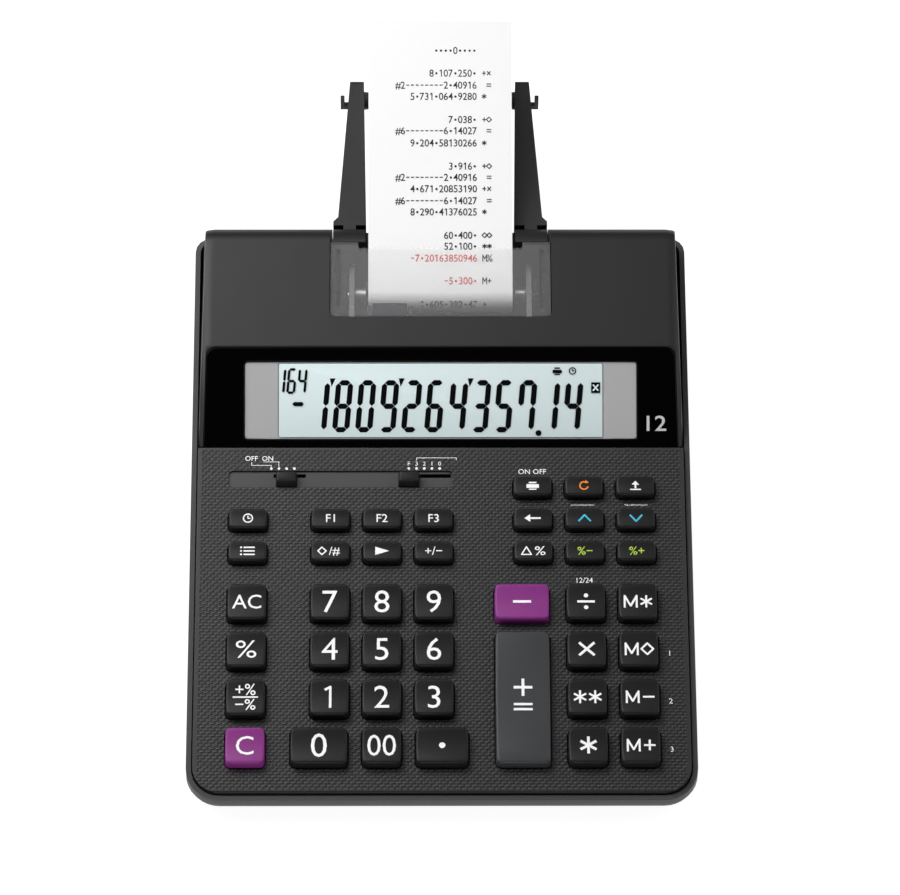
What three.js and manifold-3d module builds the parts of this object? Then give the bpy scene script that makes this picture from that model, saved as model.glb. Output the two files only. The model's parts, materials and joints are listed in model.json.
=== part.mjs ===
// Printing desk calculator: a wedge case with a sloping key panel, a tilted display, a printer under a
// smoked lift-off window, and a paper roll held behind the case between two arms.
// Millimetres. X to the right, Y from the front edge to the rear, Z up from the table.

import * as THREE from 'three';
import { mergeVertices } from 'three/addons/utils/BufferGeometryUtils.js';
import Module from 'manifold-3d';

const wasm = await Module();
wasm.setup();

const degrees = THREE.MathUtils.degToRad;
const QUARTER_TURN = Math.PI / 2;

// Walls and fits
const WALL = 2.2;
const FLOOR = 2.2;
const FIT = 0.3;
const OVERRUN = 30;
const RIM_LEDGE = 2.0;
const RIM_GROOVE = 0.5;
const RIM_SKIRT = 3.0;
const PANEL_PROUD = 1.6;

// Keys
const KEY_WIDTH = 15.5;
const KEY_LENGTH = 15.6;
const KEY_HEIGHT = 4.2;
const LOW_KEY_LENGTH = 9.0;
const LOW_KEY_HEIGHT = 3.6;
const KEY_SPACING = 4.5;
const ROW_SPACING = 4.4;
const LOW_ROW_SPACING = 5.0;
const ZERO_KEY_WIDTH = 22.2;
const POINT_KEY_WIDTH = 20.5;
const BOTTOM_ROW_SPACING = 5.0;
const OPERATOR_KEY_WIDTH = 21.4;
const KEY_CORNER = 2.0;
const KEY_DRAFT = 0.45;
const KEY_CROWN_INSET = 1.2;
const KEY_CROWN_DROP = 0.8;
const KEY_FLANGE = 1.0;
const KEY_FLANGE_HEIGHT = 2.1;
const KEY_TRAVEL = 2.5;

// Key panel, from the left side and from the front
const LEFT_MARGIN = 12.25;
const FUNCTION_GAP = 16.5;
const OPERATOR_GAP = 15.5;
const MEMORY_GAP = 6.2;
const RIGHT_MARGIN = 11.55;
const FRONT_MARGIN = 9.9;
const LOW_BLOCK_GAP = 9.4;
const REAR_MARGIN = 13.5;
const PANEL_SLOPE = degrees(7.4);
const PANEL_EDGE = 0.8;

// Slide switches in their channel
const CHANNEL_GAP = 10.4;
const CHANNEL_LENGTH = 7.2;
const CHANNEL_DEPTH = 0.8;
const CHANNEL_CORNER = 1.5;
const CHANNEL_LEFT_OVERHANG = 0.1;
const CHANNEL_RIGHT_OVERHANG = 0.2;
const SWITCH_STEP = 3.0;
const FUNCTION_STEPS = 3;
const FUNCTION_REST = 2;
const DECIMAL_STEPS = 4;
const FUNCTION_SWITCH_INSET = 22.45;
const DECIMAL_SWITCH_INSET = 17.3;
const KNOB_WIDTH = 8.4;
const KNOB_LENGTH = 5.7;
const KNOB_HEIGHT = 3.6;
const KNOB_SLOPE = 1.1;
const KNOB_EDGE = 0.5;
const STEM_WIDTH = 3.0;
const STEM_LENGTH = 1.0;
const STEM_OFFSET = 2.7;
const STEM_SETBACK = 5.25;
const SLOT_LENGTH = 1.6;
const FOOT_PLATE = 1.2;

// Circuit board under the keys
const BOARD_THICKNESS = 1.6;
const BOARD_FRONT = 7.0;
const BOARD_REAR = 5.0;
const BOARD_SIDE = 11.2;
const CONTACT_HEIGHT = 0.8;
const UNDER_BOARD = 1.7;
const CHIP_WIDTH = 9.0;
const CHIP_LENGTH = 14.0;
const CHIP_HEIGHT = 1.4;
const BOARD_POST_RADIUS = 2.0;

// Display
const DISPLAY_LENGTH = 40.4;
const DISPLAY_TILT = degrees(30);
const BEZEL_THICKNESS = 1.6;
const BEZEL_FOOT_INSET = 2.1;
const BEZEL_TOP_INSET = 3.3;
const BEZEL_TOP_GAP = 1.0;
const BEZEL_CORNER = 4.0;
const SURROUND_WIDTH = 154;
const SURROUND_LOWER_MARGIN = 3.3;
const SURROUND_UPPER_MARGIN = 6.4;
const SURROUND_CORNER = 1.2;
const GLASS_WIDTH = 126.6;
const GLASS_MARGIN = 0.9;
const GLASS_RISE = 0.3;
const SURROUND_SINK = 0.7;
const LCD_FLANGE = 2.0;
const LCD_DEPTH = 3.4;

// Hump over the printer
const HUMP_SLOPE = degrees(8);
const SHOULDER_WIDTH = 5.5;
const SHOULDER_DROP = 2.6;
const SIDE_DRAFT = degrees(4.6);
const REAR_ROUNDING = 9.0;
const FRONT_CORNER = 13.0;
const REAR_CORNER = 6.0;

// Tear window
const WINDOW_SETBACK = 12.7;
const WINDOW_LENGTH = 32.9;
const WINDOW_THICKNESS = 2.0;
const WINDOW_CORNER = 2.0;
const WINDOW_FLANGE = 11.0;
const WINDOW_SEAT = 2.2;
const WINDOW_SKIRT = 3.0;
const WINDOW_SKIRT_WALL = 1.5;
const TEAR_MARGIN = 3.9;
const TEAR_SETBACK = 2.25;
const TOOTH_DEPTH = 0.6;
const TOOTH_COUNT = 30;

// Paper, its roll and the arms that hold it
const PAPER_WIDTH = 57.0;
const PAPER_THICKNESS = 0.3;
const PAPER_RISE = degrees(20);
const PAPER_CURL = degrees(5);
const PAPER_SHOWN = 94.0;
const PAPER_UNDER_WINDOW = 0.25;
const ROLL_RADIUS = 25.0;
const CORE_RADIUS = 6.0;
const CORE_STEP = 0.6;
const PEG_RADIUS = 3.8;
const PEG_TIP_RADIUS = 3.1;
const PEG_LENGTH = 5.2;
const ARM_LENGTH = 74.3;
const ARM_HEIGHT = 8.5;
const ARM_ROOT_WIDTH = 11.2;
const ARM_TIP_WIDTH = 5.5;
const ARM_SPLAY = 1.2;
const ARM_SIDE_GAP = 0.9;
const ARM_FLARE = 1.9;
const ARM_FLARE_LENGTH = 4.0;
const ARM_CLEARANCE = 2.8;
const ARM_END_ROUNDING = 3.0;
const ARM_EDGE = 1.0;
const PEG_FROM_TIP = 8.0;
const ARM_SPREAD_CLEARANCE = 1.0;
const KNUCKLE_RADIUS = 3.8;
const KNUCKLE_SHARE = 0.59;
const KNUCKLE_DEPTH_SHARE = 0.55;
const KNUCKLE_GAP = 0.35;
const NECK_WIDTH = 5.0;
const HOOK_REACH = 3.9;
const HOOK_BAR = 2.1;
const HOOK_POST = 1.6;
const HOOK_RISE = 4.4;
const HOOK_FROM_TIP = 9.7;

// Roll bracket in the notch behind the window
const BRACKET_DEPTH = 10.0;
const BRACKET_SINK = 0.8;
const BRACKET_DROP = 6.0;
const BRACKET_ROUNDING = 8.0;
const BRACKET_THROAT = 8.5;

// Printer
const PLATEN_RADIUS = 6.0;
const PAPER_RUN_SHARE = 0.51;
const SHAFT_RADIUS = 1.5;
const SHAFT_GAP = 0.35;
const ROLLER_SIDE_MARGIN = 1.0;
const FRAME_SIDE_MARGIN = 5.5;
const FRAME_WALL = 2.0;
const FRAME_DROP = 15.6;
const FRAME_FRONT = 15.5;
const FRAME_REAR = 15.0;
const FRAME_RISE = 5.6;
const GEAR_RADIUS = 6.6;
const TOOTH_HEIGHT = 1.4;
const GEAR_TEETH = 18;
const GEAR_WIDTH = 1.8;
const GEAR_GAP = 0.8;
const CARRIAGE_SHARE = 0.32;
const CARRIAGE_DEPTH = 9.5;
const CARRIAGE_HEIGHT = 9.0;
const CARRIAGE_PLACE_SHARE = 0.35;
const CARRIAGE_GAP = 1.0;
const EAR_THICKNESS = 2.0;
const EAR_WIDTH = 5.0;
const INK_RADIUS = 4.5;
const INK_PIN_RADIUS = 1.0;
const INK_SETBACK = 11.3;
const INK_RISE = 3.1;
const RAIL_RADIUS = 1.5;
const RAIL_DROP = 8.4;
const RAIL_SETBACK = 13.4;

// Lower case
const FOOT_HEIGHT = 2.5;
const FOOT_RADIUS = 6.0;
const FOOT_INSET = 19.0;
const FOOT_SINK = 0.5;
const CASE_POST_RADIUS = 3.2;
const CASE_POST_INSET = 7.5;
const FRONT_POST_Y = 14.0;
const MIDDLE_POST_Y = 122.0;
const REAR_POST_INSET = 13.0;
const POST_SPLIT = 4.5;
const SCREW_HOLE_RADIUS = 2.8;
const SCREW_HOLE_DEPTH = 1.2;
const BRACKET_POST_RADIUS = 3.0;
const FEED_SLOT_HEIGHT = 6.0;
const FEED_SLOT_MARGIN = 2.4;
const JACK_RADIUS = 5.0;
const JACK_BORE = 3.1;
const JACK_LENGTH = 6.0;
const JACK_RECESS = 3.0;
const JACK_INSET = 27.0;
const JACK_HEIGHT = 18.0;
const TUB_FOOT_INSET = 7.0;
const TUB_HEEL_INSET = 3.4;
const TUB_KNEE_INSET = 1.1;
const TUB_HEEL_HEIGHT = 1.7;
const TUB_KNEE_HEIGHT = 4.2;
const TUB_FLANK_HEIGHT = 7.2;

// Battery bay for four round cells, and its door
const CELL_DIAMETER = 14.5;
const CELL_LENGTH = 50.5;
const CELL_COUNT = 4;
const BAY_SPARE = 1.5;
const BAY_WALL = 1.6;
const BAY_LEDGE = 1.2;
const BAY_SIDE_INSET = 11.5;
const BAY_REAR_INSET = 34.0;
const DOOR_THICKNESS = 2.0;
const DOOR_RIB_HEIGHT = 1.2;
const DOOR_RIB_COUNT = 3;
const DOOR_RIB_WIDTH = 1.2;
const GRIP_COUNT = 3;
const GRIP_DEPTH = 0.6;

// Facet counts
const CORNER_STEPS = 2;
const ROUNDING_STEPS = 4;
const ROUND_FACETS = 12;
const ROLLER_FACETS = 20;
const ROLL_FACETS = 36;
const PAPER_STEPS = 14;
const FIRST_STEP = 1;

// Finishes: colour, roughness, metalness
const FINISHES = {
  case: [0x2a2b2c, 0.62, 0],
  rim: [0x3a3c3d, 0.58, 0],
  gloss: [0x060607, 0.12, 0],
  key: [0x262729, 0.48, 0],
  purple: [0x8c3494, 0.42, 0],
  slate: [0x474b4e, 0.45, 0],
  silver: [0xa6a8a9, 0.4, 0.2],
  paper: [0xf5f5f3, 0.9, 0],
  rubber: [0x1b1b1c, 0.9, 0],
  board: [0x1d5b3a, 0.6, 0],
  steel: [0xb4b8bc, 0.35, 1],
  ink: [0x2a1c3c, 0.8, 0],
  smoke: [0x77797c, 0.15, 0],
};
const SMOKE_OPACITY = 0.45;

// Widths worked out from the key panel
const COLUMN_PITCH = KEY_WIDTH + KEY_SPACING;
const ROW_PITCH = KEY_LENGTH + ROW_SPACING;
const LOW_ROW_PITCH = LOW_KEY_LENGTH + LOW_ROW_SPACING;
const DIGIT_BLOCK = 3 * KEY_WIDTH + 2 * KEY_SPACING;
const MEMORY_BLOCK = 2 * KEY_WIDTH + KEY_SPACING;
const UPPER_WIDTH = LEFT_MARGIN + KEY_WIDTH + FUNCTION_GAP + DIGIT_BLOCK + OPERATOR_GAP
  + OPERATOR_KEY_WIDTH + MEMORY_GAP + MEMORY_BLOCK + RIGHT_MARGIN;
const RIM = RIM_LEDGE + RIM_GROOVE;
const BODY_WIDTH = UPPER_WIDTH + 2 * RIM;
const UPPER_SIDE = UPPER_WIDTH / 2;

// Column centres
const FUNCTION_X = -UPPER_SIDE + LEFT_MARGIN + KEY_WIDTH / 2;
const DIGIT_X = FUNCTION_X + KEY_WIDTH + FUNCTION_GAP;
const OPERATOR_X = DIGIT_X + DIGIT_BLOCK - KEY_WIDTH / 2 + OPERATOR_GAP + OPERATOR_KEY_WIDTH / 2;
const MEMORY_X = UPPER_SIDE - RIGHT_MARGIN - KEY_WIDTH / 2;
const SIGN_X = MEMORY_X - COLUMN_PITCH;
const PRINT_X = SIGN_X - COLUMN_PITCH;
const DOUBLE_ZERO_X = DIGIT_X + COLUMN_PITCH;
const ZERO_X = DOUBLE_ZERO_X - KEY_WIDTH / 2 - BOTTOM_ROW_SPACING - ZERO_KEY_WIDTH / 2;
const POINT_X = DOUBLE_ZERO_X + KEY_WIDTH / 2 + BOTTOM_ROW_SPACING + POINT_KEY_WIDTH / 2;

// Places along the panel, from its front edge
const rowFront = (row) => FRONT_MARGIN + row * ROW_PITCH;
const LOW_BLOCK_FRONT = rowFront(3) + KEY_LENGTH + LOW_BLOCK_GAP;
const lowRowFront = (row) => LOW_BLOCK_FRONT + row * LOW_ROW_PITCH;
const CHANNEL_FRONT = lowRowFront(1) + LOW_KEY_LENGTH + CHANNEL_GAP;
const PANEL_LENGTH = lowRowFront(2) + LOW_KEY_LENGTH + REAR_MARGIN;

// Depth of the board's top below the panel, and the panel's height at its front edge
const FLANGE_DEPTH = WALL + FIT + KEY_FLANGE_HEIGHT;
const BOARD_DEPTH = FLANGE_DEPTH + KEY_TRAVEL + CONTACT_HEIGHT;
const BOARD_BOTTOM = BOARD_DEPTH + BOARD_THICKNESS;
const PANEL_HEIGHT = FOOT_HEIGHT + FLOOR + UNDER_BOARD + BOARD_BOTTOM * Math.cos(PANEL_SLOPE)
  - BOARD_FRONT * Math.sin(PANEL_SLOPE);

// Tilted frames: X, distance up the slope, height square to it
const tilted = (y, z, angle) => new THREE.Matrix4().makeTranslation(0, y, z)
  .multiply(new THREE.Matrix4().makeRotationX(angle));
const DISPLAY_Y = RIM + PANEL_LENGTH * Math.cos(PANEL_SLOPE);
const DISPLAY_Z = PANEL_HEIGHT + PANEL_LENGTH * Math.sin(PANEL_SLOPE);
const HUMP_Y = DISPLAY_Y + DISPLAY_LENGTH * Math.cos(DISPLAY_TILT);
const HUMP_Z = DISPLAY_Z + DISPLAY_LENGTH * Math.sin(DISPLAY_TILT);
const PANEL = tilted(RIM, PANEL_HEIGHT, PANEL_SLOPE);
const DISPLAY = tilted(DISPLAY_Y, DISPLAY_Z, DISPLAY_TILT);
const HUMP = tilted(HUMP_Y, HUMP_Z, HUMP_SLOPE);

// Rear of the case
const WINDOW_END = WINDOW_SETBACK + WINDOW_LENGTH;
const BRACKET_Y = HUMP_Y + WINDOW_END * Math.cos(HUMP_SLOPE) + 2 * FIT;
const UPPER_REAR = BRACKET_Y + BRACKET_DEPTH;
const BODY_DEPTH = UPPER_REAR + RIM;
const rimHeight = (y) => PANEL_HEIGHT - PANEL_PROUD + (y - RIM) * Math.tan(PANEL_SLOPE);
const humpHeight = (y) => HUMP_Z + (y - HUMP_Y) * Math.tan(HUMP_SLOPE);
const TOP_HEIGHT = humpHeight(BODY_DEPTH);

// Arms and roll
const TEAR_WIDTH = PAPER_WIDTH + 2 * TEAR_MARGIN;
const WINDOW_WIDTH = TEAR_WIDTH + 2 * WINDOW_FLANGE;
const ARM_Z = rimHeight(BODY_DEPTH) + ARM_CLEARANCE;
const ARM_INNER = PAPER_WIDTH / 2 + ARM_SIDE_GAP;
const ARM_OUTER = ARM_INNER + ARM_ROOT_WIDTH;
const ARM_TIP_Y = UPPER_REAR + ARM_LENGTH;
const ROLL_Y = ARM_TIP_Y - PEG_FROM_TIP;
const ROLL_Z = ARM_Z + ARM_HEIGHT / 2;
const BRACKET_SIDE = ARM_OUTER + ARM_FLARE;
const KNUCKLE_X = ARM_INNER + ARM_ROOT_WIDTH * KNUCKLE_SHARE;
const KNUCKLE_Y = BRACKET_Y + BRACKET_DEPTH * KNUCKLE_DEPTH_SHARE;

// Platen under the window: the paper leaves it up the rise and passes close under the tear edge
const EXIT_U = WINDOW_END - TEAR_SETBACK;
const EXIT_Y = HUMP_Y + EXIT_U * Math.cos(HUMP_SLOPE);
const EXIT_Z = humpHeight(EXIT_Y) - WINDOW_THICKNESS / Math.cos(HUMP_SLOPE) - FIT - PAPER_THICKNESS
  + PAPER_UNDER_WINDOW;
const WRAP_RADIUS = PLATEN_RADIUS + FIT + PAPER_THICKNESS / 2;
const PAPER_RUN = WINDOW_LENGTH * PAPER_RUN_SHARE;
const PLATEN_Y = EXIT_Y - PAPER_RUN * Math.cos(PAPER_RISE) + WRAP_RADIUS * Math.sin(PAPER_RISE);
const PLATEN_Z = EXIT_Z - PAPER_RUN * Math.sin(PAPER_RISE) - WRAP_RADIUS * Math.cos(PAPER_RISE);
const FRAME_INNER = PAPER_WIDTH / 2 + FRAME_SIDE_MARGIN;
const FRAME_OUTER = FRAME_INNER + FRAME_WALL;
const FRAME_Z = PLATEN_Z - FRAME_DROP;
const CARRIAGE_WIDTH = PAPER_WIDTH * CARRIAGE_SHARE;
const CARRIAGE_X = -PAPER_WIDTH * CARRIAGE_PLACE_SHARE;

// Battery bay, seen from above
const BAY_WIDTH = CELL_COUNT * CELL_DIAMETER + 2 * BAY_SPARE;
const BAY_LENGTH = CELL_LENGTH + 2 * BAY_SPARE;
const BAY_HEIGHT = CELL_DIAMETER + BAY_SPARE;
const BAY_X = -BODY_WIDTH / 2 + BAY_SIDE_INSET;
const BAY_Y = BODY_DEPTH - BAY_REAR_INSET - BAY_LENGTH;

/** Turns a closed geometry into a solid that can be joined and cut. */
function toSolid(geometry) {
  const bare = geometry.clone();
  bare.deleteAttribute('normal');
  bare.deleteAttribute('uv');
  const merged = mergeVertices(bare);
  const triVerts = new Uint32Array(merged.index.array);
  const vertProperties = new Float32Array(merged.attributes.position.array);
  return new wasm.Manifold(new wasm.Mesh({ numProp: 3, vertProperties, triVerts }));
}

/** Turns a solid back into a geometry. */
function toGeometry(solid) {
  const { vertProperties, triVerts } = solid.getMesh();
  const geometry = new THREE.BufferGeometry();
  geometry.setAttribute('position', new THREE.BufferAttribute(vertProperties, 3));
  geometry.setIndex(new THREE.BufferAttribute(triVerts, 1));
  geometry.computeVertexNormals();
  return geometry;
}

const join = (...solids) => solids.reduce((whole, next) => whole.add(next));
const cut = (solid, ...tools) => tools.reduce((rest, tool) => rest.subtract(tool), solid);

/** Points of a closed outline through corners [x, y, radius], each rounded by its radius. */
function rounded(corners, steps = CORNER_STEPS) {
  return corners.flatMap(([x, y, radius = 0], i) => {
    const here = new THREE.Vector2(x, y);
    if (radius === 0) return [here];
    const before = corners.at(i - 1);
    const after = corners[(i + 1) % corners.length];
    const back = new THREE.Vector2(before[0], before[1]).sub(here).normalize();
    const ahead = new THREE.Vector2(after[0], after[1]).sub(here).normalize();
    const half = Math.acos(THREE.MathUtils.clamp(back.dot(ahead), -1, 1)) / 2;
    const middle = back.clone().add(ahead).normalize();
    const centre = here.clone().addScaledVector(middle, radius / Math.sin(half));
    const start = here.clone().addScaledVector(back, radius / Math.tan(half)).sub(centre);
    const turn = Math.sign(ahead.cross(back)) * (Math.PI - 2 * half);
    return Array.from({ length: steps + 1 }, (_, step) => start.clone()
      .rotateAround(new THREE.Vector2(), turn * step / steps).add(centre));
  });
}

/** Corners of a rectangle, all with one radius. */
const rectangle = (x0, x1, y0, y1, radius = 0) => [
  [x0, y0, radius], [x1, y0, radius], [x1, y1, radius], [x0, y1, radius],
];

/** Extrudes an outline from one height to another. */
function upright(corners, z0, z1, steps = CORNER_STEPS) {
  const shape = new THREE.Shape(rounded(corners, steps));
  const geometry = new THREE.ExtrudeGeometry(shape, { depth: z1 - z0, bevelEnabled: false });
  return geometry.translate(0, 0, z0);
}

/** Extrudes a side view, drawn in Y and Z, across X. */
function across(corners, x0, x1, steps = ROUNDING_STEPS, options = {}) {
  const shape = new THREE.Shape(rounded(corners, steps));
  const geometry = new THREE.ExtrudeGeometry(shape, { depth: x1 - x0, bevelEnabled: false, ...options });
  const turn = new THREE.Matrix4().makeBasis(
    new THREE.Vector3(0, 1, 0), new THREE.Vector3(0, 0, 1), new THREE.Vector3(1, 0, 0));
  return geometry.translate(0, 0, x0).applyMatrix4(turn);
}

/** Joins outlines at rising heights, all with the same number of points, into one closed form. */
function loft(levels, steps = CORNER_STEPS) {
  const rings = levels.map(([corners, z]) => ({ points: rounded(corners, steps), z }));
  const count = rings[0].points.length;
  const positions = rings.flatMap(({ points, z }) => points.flatMap((p) => [p.x, p.y, z]));
  const lid = THREE.ShapeUtils.triangulateShape(rings[0].points, []);
  const top = count * (rings.length - 1);
  const sides = rings.slice(1).flatMap((_, level) => rings[0].points.flatMap((__, i) => {
    const [a, b] = [level * count + i, level * count + (i + 1) % count];
    return [a, b, b + count, a, b + count, a + count];
  }));
  const lids = lid.flatMap(([a, b, c]) => [c, b, a, a + top, b + top, c + top]);
  const geometry = new THREE.BufferGeometry();
  geometry.setAttribute('position', new THREE.Float32BufferAttribute(positions, 3));
  geometry.setIndex([...sides, ...lids]);
  return geometry;
}

const block = (x0, x1, y0, y1, z0, z1) => upright(rectangle(x0, x1, y0, y1), z0, z1);
const post = (x, y, radius, z0, z1, facets = ROUND_FACETS) => new THREE.CylinderGeometry(
  radius, radius, z1 - z0, facets).rotateX(QUARTER_TURN).translate(x, y, (z0 + z1) / 2);
const rod = (y, z, radius, x0, x1, facets = ROUND_FACETS, end = radius) => new THREE.CylinderGeometry(
  radius, end, x1 - x0, facets).rotateZ(QUARTER_TURN).translate((x0 + x1) / 2, y, z);
const on = (frame, geometry) => toSolid(geometry.applyMatrix4(frame));

/** A straight line in the side view: a point and an angle, moved inwards (to its right) by inset. */
function line(y, z, angle, inset = 0) {
  return { y: y + inset * Math.sin(angle), z: z - inset * Math.cos(angle), angle };
}

/** Where two lines of the side view cross. */
function meet(a, b) {
  const cross = Math.sin(b.angle - a.angle);
  const along = ((b.y - a.y) * Math.sin(b.angle) - (b.z - a.z) * Math.cos(b.angle)) / cross;
  return [a.y + along * Math.cos(a.angle), a.z + along * Math.sin(a.angle)];
}

/** Everything above the rim's plane, or above it moved up by rise. */
const aboveRim = (rise, far = OVERRUN) => toSolid(across([
  [-far, rimHeight(-far) + rise], [BODY_DEPTH + far, rimHeight(BODY_DEPTH + far) + rise],
  [BODY_DEPTH + far, TOP_HEIGHT + 2 * far], [-far, TOP_HEIGHT + 2 * far],
], -BODY_WIDTH, BODY_WIDTH));

/** Plan corners of the case, drawn in from the full body by side and end insets. */
function plan(side, end = side) {
  const x = BODY_WIDTH / 2 - side;
  const inset = Math.min(side, end);
  const front = Math.max(FRONT_CORNER - inset, RIM);
  const rear = Math.max(REAR_CORNER - inset, RIM);
  return [[-x, end, front], [x, end, front], [x, BODY_DEPTH - end, rear], [-x, BODY_DEPTH - end, rear]];
}

/** The upper case's form; with an inset, the space inside its walls. */
function upperForm(inset = 0) {
  const panel = line(RIM, PANEL_HEIGHT, PANEL_SLOPE, inset);
  const front = line(RIM, 0, QUARTER_TURN, inset);
  const recess = inset > 0 ? BEZEL_THICKNESS + FIT : 0;
  const display = line(DISPLAY_Y, DISPLAY_Z, DISPLAY_TILT, inset + recess);
  const hump = line(HUMP_Y, HUMP_Z, HUMP_SLOPE, inset);
  const rear = line(UPPER_REAR, 0, -QUARTER_TURN, inset);
  const low = -OVERRUN;
  const foot = meet(panel, display);
  const crown = [...meet(hump, rear), REAR_ROUNDING - inset];
  const edge = inset > 0 ? 0 : PANEL_EDGE;
  const wedge = across([[front.y, low], [...meet(front, panel), edge], foot, [foot[0], low]],
    -UPPER_SIDE, UPPER_SIDE);
  const profile = [[foot[0], low], foot, meet(display, hump), crown, [rear.y, low]];
  const shoulder = {
    bevelEnabled: true, bevelSize: SHOULDER_DROP, bevelOffset: -SHOULDER_DROP,
    bevelThickness: SHOULDER_WIDTH, bevelSegments: ROUNDING_STEPS - FIRST_STEP,
  };
  const flat = UPPER_SIDE - SHOULDER_WIDTH;
  const top = across(profile, -flat, flat, ROUNDING_STEPS, inset > 0 ? {} : shoulder);
  const draft = (TOP_HEIGHT - DISPLAY_Z) * Math.tan(SIDE_DRAFT);
  const straight = plan(RIM + inset);
  const drafted = plan(RIM + inset + draft, RIM + inset);
  const prism = loft([
    [straight, low], [straight, DISPLAY_Z], [drafted, TOP_HEIGHT], [drafted, TOP_HEIGHT + OVERRUN],
  ], ROUNDING_STEPS);
  return join(toSolid(wedge), toSolid(top)).intersect(toSolid(prism));
}

/** The key list: name, centre across, front edge, width, length, height, finish. */
function keyList() {
  const rows = [
    [FUNCTION_X, ['key_clear', 'key_markup', 'key_percent', 'key_clear_all']],
    [DIGIT_X, [null, 'key_1', 'key_4', 'key_7']],
    [DIGIT_X + COLUMN_PITCH, ['key_00', 'key_2', 'key_5', 'key_8']],
    [DIGIT_X + 2 * COLUMN_PITCH, [null, 'key_3', 'key_6', 'key_9']],
    [SIGN_X, ['key_total', 'key_grand_total', 'key_multiply', 'key_divide']],
    [MEMORY_X, ['key_memory_plus', 'key_memory_minus', 'key_memory_subtotal', 'key_memory_total']],
  ];
  const lowRows = [
    [FUNCTION_X, ['key_item', 'key_time']],
    [DIGIT_X, ['key_non_add', 'key_cost']],
    [DIGIT_X + COLUMN_PITCH, ['key_shift', 'key_sell']],
    [DIGIT_X + 2 * COLUMN_PITCH, ['key_sign', 'key_margin']],
    [PRINT_X, ['key_delta_percent', 'key_correct', 'key_print']],
    [SIGN_X, ['key_tax_minus', 'key_up', 'key_reprint']],
    [MEMORY_X, ['key_tax_plus', 'key_down', 'key_feed']],
  ];
  const full = rows.flatMap(([x, names]) => names.map((name, row) => (
    [name, x, rowFront(row), KEY_WIDTH, KEY_LENGTH, KEY_HEIGHT, name === 'key_clear' ? 'purple' : 'key'])));
  const low = lowRows.flatMap(([x, names]) => names.map((name, row) => (
    [name, x, lowRowFront(row), KEY_WIDTH, LOW_KEY_LENGTH, LOW_KEY_HEIGHT, 'key'])));
  const tall = 2 * ROW_PITCH + KEY_LENGTH;
  return [
    ...full.filter(([name]) => name), ...low,
    ['key_0', ZERO_X, rowFront(0), ZERO_KEY_WIDTH, KEY_LENGTH, KEY_HEIGHT, 'key'],
    ['key_point', POINT_X, rowFront(0), POINT_KEY_WIDTH, KEY_LENGTH, KEY_HEIGHT, 'key'],
    ['key_minus', OPERATOR_X, rowFront(3), OPERATOR_KEY_WIDTH, KEY_LENGTH, KEY_HEIGHT, 'purple'],
    ['key_plus_equals', OPERATOR_X, rowFront(0), OPERATOR_KEY_WIDTH, tall, KEY_HEIGHT, 'slate'],
  ];
}

/** One key cap: a drafted body with a drawn-in crown over the flange that stays under the panel. */
function keyCap(x, front, width, length, height) {
  const ring = (grow) => rectangle(x - width / 2 - grow, x + width / 2 + grow, front - grow,
    front + length + grow, Math.max(KEY_CORNER + grow, KEY_CORNER / 2));
  const levels = [
    [ring(KEY_FLANGE), -FLANGE_DEPTH], [ring(KEY_FLANGE), -WALL - FIT], [ring(0), -WALL - FIT],
    [ring(-KEY_DRAFT), height - KEY_CROWN_DROP], [ring(-KEY_CROWN_INSET), height],
  ];
  return on(PANEL, loft(levels));
}

/** The holes that the keys stand in. */
function keyHoles() {
  return join(...keyList().map(([, x, front, width, length]) => on(PANEL, upright(rectangle(
    x - width / 2 - FIT, x + width / 2 + FIT, front - FIT, front + length + FIT, KEY_CORNER + FIT),
    -WALL - OVERRUN / 2, OVERRUN / 2))));
}

// Switch knobs: centre at rest, and how far the slot reaches to each side of the stem
const FUNCTION_SWITCH_X = -UPPER_SIDE + LEFT_MARGIN + FUNCTION_SWITCH_INSET;
const DECIMAL_SWITCH_X = DIGIT_X + DIGIT_BLOCK - KEY_WIDTH / 2 - DECIMAL_SWITCH_INSET;
const SWITCHES = [
  ['slider_function', FUNCTION_SWITCH_X, FUNCTION_REST, FUNCTION_STEPS - FUNCTION_REST],
  ['slider_decimal', DECIMAL_SWITCH_X, 0, DECIMAL_STEPS],
];
const STEM_FRONT = CHANNEL_FRONT + STEM_SETBACK - STEM_LENGTH / 2;

/** The shallow channel and the two slots in its floor. */
function switchChannel() {
  const left = FUNCTION_X - KEY_WIDTH / 2 - CHANNEL_LEFT_OVERHANG;
  const right = DIGIT_X + DIGIT_BLOCK - KEY_WIDTH / 2 - CHANNEL_RIGHT_OVERHANG;
  const channel = upright(rectangle(left, right, CHANNEL_FRONT, CHANNEL_FRONT + CHANNEL_LENGTH,
    CHANNEL_CORNER), -CHANNEL_DEPTH, OVERRUN);
  const slots = SWITCHES.map(([, x, stepsLeft, stepsRight]) => upright(rectangle(
    x + STEM_OFFSET - STEM_WIDTH / 2 - FIT - stepsLeft * SWITCH_STEP,
    x + STEM_OFFSET + STEM_WIDTH / 2 + FIT + stepsRight * SWITCH_STEP,
    CHANNEL_FRONT + STEM_SETBACK - SLOT_LENGTH / 2, CHANNEL_FRONT + STEM_SETBACK + SLOT_LENGTH / 2),
    -WALL - OVERRUN / 2, OVERRUN));
  return join(...[channel, ...slots].map((geometry) => on(PANEL, geometry)));
}

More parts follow.
